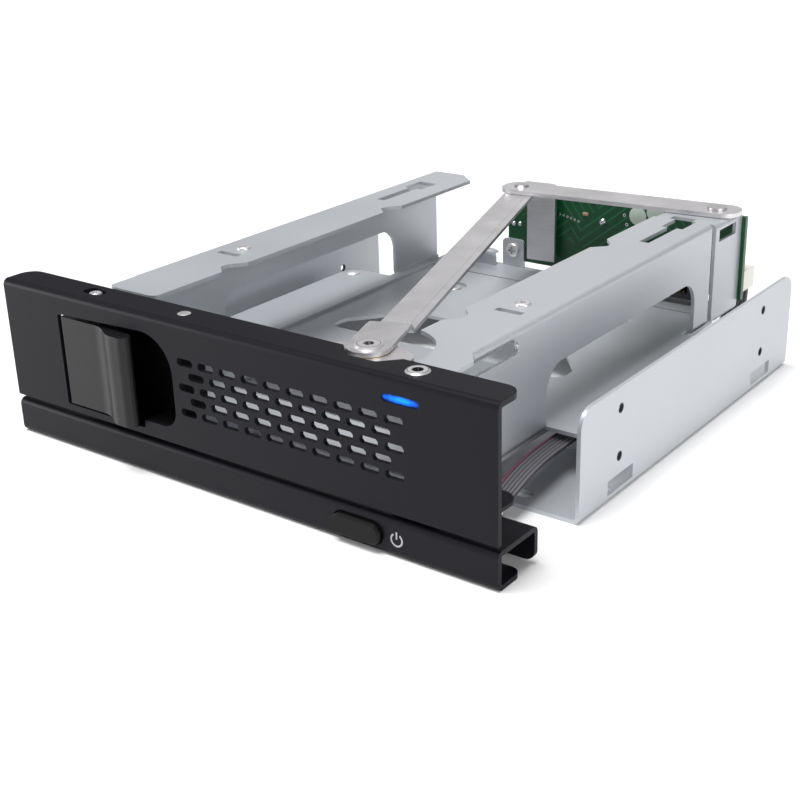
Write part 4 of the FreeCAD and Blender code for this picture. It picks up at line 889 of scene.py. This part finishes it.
class CAGE_OT_fixings(bpy.types.Operator):
    """Screws and rivets: cross-recess and domed heads, each group one piece."""

    bl_idname = "cage.fixings"
    bl_label = "Fixings"

    def execute(self, context):
        rail_low, rail_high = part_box("left_rail")
        tray_low, tray_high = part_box("tray_floor")
        strip_low, strip_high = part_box("front_strip")
        pin_low, pin_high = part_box("latch_pin")
        flap_top = rail_low.z / MM + SHEET
        rail_top = rail_high.z / MM
        tray_top = tray_low.z / MM + SHEET
        sill_under = tray_high.z / MM - SHEET
        carrier_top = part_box("front_carrier")[0].z / MM + SHEET
        above_middle = 0.45
        screw_line = (strip_low.z + strip_high.z) / 2 / MM + above_middle
        screw_aside = 66.0
        seat = 16.0
        ear_face = (BOARD_FRONT - FACE_Y) / MM - SHEET
        plate_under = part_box("link_plate")[0].z / MM
        pin = (pin_low + pin_high) / 2 / MM
        groups = (
            # name, body, kind of head, radius, height, the way it points, places
            ("rail_screws", "cage", cross_head, 1.95, 0.65, None, both_sides(44.2, [56.5], rail_top)),
            ("flap_rivets", "cage", rivet_head, 2.4, 0.9, None, both_sides(62.5, [60.0, 124.5], flap_top)),
            ("tray_screws", "cage", cross_head, 2.6, 0.7, None, both_sides(29.0, [133.0], tray_top)),
            ("sill_screws", "cage", cross_head, 1.9, 1.2, DOWN, both_sides(49.2, [30.0, 145.0], sill_under)),
            ("carrier_rivets", "cage", rivet_head, 2.2, 0.8, None, both_sides(31.0, [37.0], carrier_top)),
            ("strip_screws", "cage", cross_head, 2.4, 1.4, TO_BACK,
             both_sides(screw_aside, [seat], screw_line)),
            ("board_screws", "cage", cross_head, 2.3, 1.1, TO_FRONT,
             [(x, ear_face, 16.0) for x in (-24.6, 47.8)]),
            ("pin_screw", "door", cross_head, 1.5, 0.35, None,
             [(pin.x, pin.y - FACE_Y / MM, pin_high.z / MM)]),
            ("plate_rivets", "door", rivet_head, 2.0, 0.6, DOWN,
             [(x, PIVOT_LINE, plate_under) for x in (8.0, 22.0)]),
            ("grip_rivets", "handle", rivet_head, 0.9, 0.5, TO_BACK,
             [(-30.5, 0.35, z) for z in (24.6, 30.0)]),
        )
        for group in groups:
            self.heads(*group)
        self.flange_rivet()
        for name, side in (("left_screw_thread", -1), ("right_screw_thread", 1)):
            self.strip_thread(name, (side * screw_aside, 0.0, screw_line), seat)
        self.wall_threads()
        return {"FINISHED"}

    def heads(self, name, body, kind, radius, height, turn_to, places):
        """Equal heads at places (x, distance behind the face, height), in millimetres."""
        shapes = [kind(radius * MM, height * MM, at(*place), turn_to) for place in places]
        piece = add_mesh(name, *merged(shapes), sharp=40)
        finish_piece(piece, body, MATERIALS["screw_steel"])

    def turned(self, name, body, place, turn_to, profile):
        """One lathed steel piece at a place (x, distance behind the face, height), in millimetres."""
        shape = lathed(np.array(profile, float) * MM, at(*place), turn_to, 24)
        finish_piece(add_mesh(name, *shape, sharp=40), body, MATERIALS["screw_steel"])

    def flange_rivet(self):
        """Rivet through the door's top flange: a shank a little proud of it, and a flat head under it."""
        shank = 1.6
        head = 2.4
        head_height = 0.8
        proud = 0.1
        under = -BEZEL_SHEET
        self.turned("flange_rivet", "door", (-15.5, PIVOT_LINE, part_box("door_panel")[1].z / MM), None, [
            (0, under - head_height), (head, under - head_height), (head, under), (shank, under), (shank, 0),
            (shank - 0.2, proud), (0, proud),
        ])

    def strip_thread(self, name, place, seat):
        """Shank of a strip screw from its tip to its seat, where r swings between root and crest."""
        root = 1.05
        crest = 1.25
        tip = 10.0
        turns = [(crest if step % 2 else root, tip + 0.2 + 0.25 * step) for step in range(23)]
        self.turned(name, "cage", place, TO_BACK, [(0, tip), (0.8, tip), *turns, (crest, seat), (0, seat)])

    def wall_threads(self):
        """Threads inside the walls' screw holes: a ring whose inner r swings between root and crest, in steel
        darkened as painted shade for the holes.
        """
        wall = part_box("base_chassis")[1].x / MM
        walls = ((-wall, TO_RIGHT), (wall, TO_LEFT))
        root = 1.20
        crest = 1.02
        outer = 1.24
        rim = 0.02
        turns = [(crest if step % 2 else root, SHEET - 0.05 - 0.1 * step) for step in range(10)]
        ring = np.array([(outer, rim), (outer, SHEET - rim), *turns, (outer, rim)]) * MM
        shapes = [
            lathed(ring, at(x, back, height), inwards, 24)
            for x, inwards in walls for back in HOLE_BACKS for height in HOLE_HEIGHTS
        ]
        piece = add_mesh("wall_threads", *merged(shapes), sharp=40)
        finish_piece(piece, "cage", MATERIALS["thread_painted_shade"])


class CAGE_OT_board_dots(bpy.types.Operator):
    """Solder joints, plated holes and small chips on both sides of the rear board, and two blank stickers.

    Places (x, z), radii and sizes are in millimetres, and the profiles (r, h) are in radii.
    """

    bl_idname = "cage.board_dots"
    bl_label = "Board details"

    joint = ((0, 0), (1.0, 0), (0.92, 0.28), (0.62, 0.62), (0.30, 0.86), (0, 0.92))
    plated_hole = ((0.45, 0), (1.0, 0), (1.0, 0.1), (0.9, 0.16), (0.5, 0.16), (0.45, 0.1), (0.45, 0))
    sticker = ((0, 0), (1.0, 0), (1.0, 0.03), (0.97, 0.04), (0, 0.04))

    def execute(self, context):
        self.front_side()
        self.back_side()
        return {"FINISHED"}

    def front_side(self):
        """Joints, plated holes, stickers, and the chips that stand for the node board_parts."""
        joints = [
            (7.3, 29.5, 1.25), (-25.0, 24.6, 0.8), (-22.6, 24.8, 0.8), (-23.9, 33.1, 1.0), (27.5, 30.3, 1.1),
        ]
        holes = [(14.7, 32.7, 0.55), (15.6, 29.9, 0.55)]
        holes += [(-7.9 + 6.7 * t, 30.1 - 1.5 * t, 0.42) for t in np.linspace(0, 1, 6)]
        holes += [(24.6 + 13.5 * t, 22.6, 0.4) for t in np.linspace(-1, 1, 11)]
        shapes = [self.dot(self.joint, *place) for place in joints]
        shapes += [self.dot(self.plated_hole, *place) for place in holes]
        self.round_piece("board_joints", shapes, "bright_steel", "solder")
        chips = [self.block(x, z, 2.0, 1.0, -0.55) for x, z in ((1.4, 31.3), (33.5, 26.0), (-13.0, 33.0))]
        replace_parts(self.square_piece("board_chips", chips, 0.12, 1, "part_tan"), "board_parts")
        stickers = [self.dot(self.sticker, x, z, 2.85, 40) for x, z in ((19.2, 33.0), (25.0, 34.8))]
        self.round_piece("blank_stickers", stickers, "connector_white", "sticker_pale")

    def back_side(self):
        """Joints of the receptacle's two rows of pins, one chip with eight legs and some small parts."""
        low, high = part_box("receptacle_contacts")
        pitch = 1.27
        row = np.arange(low.x / MM + 0.35, high.x / MM, pitch)
        shapes = [self.dot(self.joint, x, z, 0.45, 12, TO_BACK) for z in (14.1, 16.6) for x in row]
        shapes += [self.dot(self.joint, x, 19.6, 0.8, 12, TO_BACK) for x in (-16.4, -6.2, 3.0, 36.0, 41.0)]
        self.round_piece("back_joints", shapes, "bright_steel", "solder")
        legs = [self.block(x, z, 0.5, 1.1, 0.5) for z in (15.3, 20.7) for x in -13.9 + pitch * np.arange(4)]
        pins = add_mesh("chip_legs", *merged(legs), smooth=False)
        finish_piece(pins, "cage", MATERIALS["solder"])
        self.square_piece("driver_chip", [self.block(-12.0, 18.0, 5.0, 4.2, 1.5)], 0.15, 2, "part_dark")
        places = [
            (-21.0, 22.0), (-21.0, 24.5), (-2.0, 16.0), (-2.0, 18.5), (5.5, 33.5), (33.5, 24.0), (36.5, 24.0),
        ]
        small = [self.block(x, z, 1.9, 1.1, 0.7) for x, z in places]
        self.square_piece("small_parts", small, 0.1, 1, "part_tan")

    def dot(self, profile, x, z, radius, steps=16, turn_to=TO_FRONT):
        """Profile lathed about an axis that points out of the board's front or back."""
        face = BOARD_FRONT if turn_to is TO_FRONT else BOARD_BACK
        return lathed(np.array(profile, float) * radius * MM, (x * MM, face, z * MM), turn_to, steps)

    def block(self, x, z, wide, high, thick):
        """Block on the board's back, or on its front if its thickness is negative."""
        near, far = sorted((0.0, thick * MM))
        face = BOARD_FRONT if thick < 0 else BOARD_BACK
        return brick(((x - wide / 2) * MM, face + near, (z - high / 2) * MM),
                     ((x + wide / 2) * MM, face + far, (z + high / 2) * MM))

    def round_piece(self, name, shapes, slot, finish):
        """One piece of lathed shapes."""
        finish_piece(add_mesh(name, *merged(shapes), sharp=50), "cage", MATERIALS[finish])

    def square_piece(self, name, blocks, bevel, segments, finish):
        """One piece of blocks with softened edges."""
        piece = bevelled(add_mesh(name, *merged(blocks), smooth=False), bevel * MM, segments)
        return finish_piece(piece, "cage", MATERIALS[finish])


class CAGE_PT_panel(bpy.types.Panel):
    """Lists the operators of the drive cage."""

    bl_idname = "CAGE_PT_panel"
    bl_label = "Drive cage"
    bl_space_type = "VIEW_3D"
    bl_region_type = "UI"
    bl_category = "Drive cage"

    def draw(self, context):
        for operator in OPERATORS:
            self.layout.operator(operator.bl_idname)


GROUPS = (CagePaints, CageSizes, CageStudio)
OPERATORS = (
    CAGE_OT_stage, CAGE_OT_finishes, CAGE_OT_ribbon, CAGE_OT_power_mark, CAGE_OT_handle_spring,
    CAGE_OT_fixings, CAGE_OT_board_dots,
)


def register():
    for cls in (*GROUPS, *OPERATORS, CAGE_PT_panel):
        bpy.utils.register_class(cls)
    bpy.types.Scene.cage_paints = bpy.props.PointerProperty(type=CagePaints)
    bpy.types.Scene.cage_sizes = bpy.props.PointerProperty(type=CageSizes)
    bpy.types.Scene.cage_studio = bpy.props.PointerProperty(type=CageStudio)


def unregister():
    del bpy.types.Scene.cage_studio
    del bpy.types.Scene.cage_sizes
    del bpy.types.Scene.cage_paints
    for cls in (CAGE_PT_panel, *reversed(OPERATORS), *reversed(GROUPS)):
        bpy.utils.unregister_class(cls)


def main():
    register()
    for operator in OPERATORS:
        group, name = operator.bl_idname.split(".")
        getattr(getattr(bpy.ops, group), name)()
    bpy.context.view_layer.update()


if __name__ == "__main__":
    main()
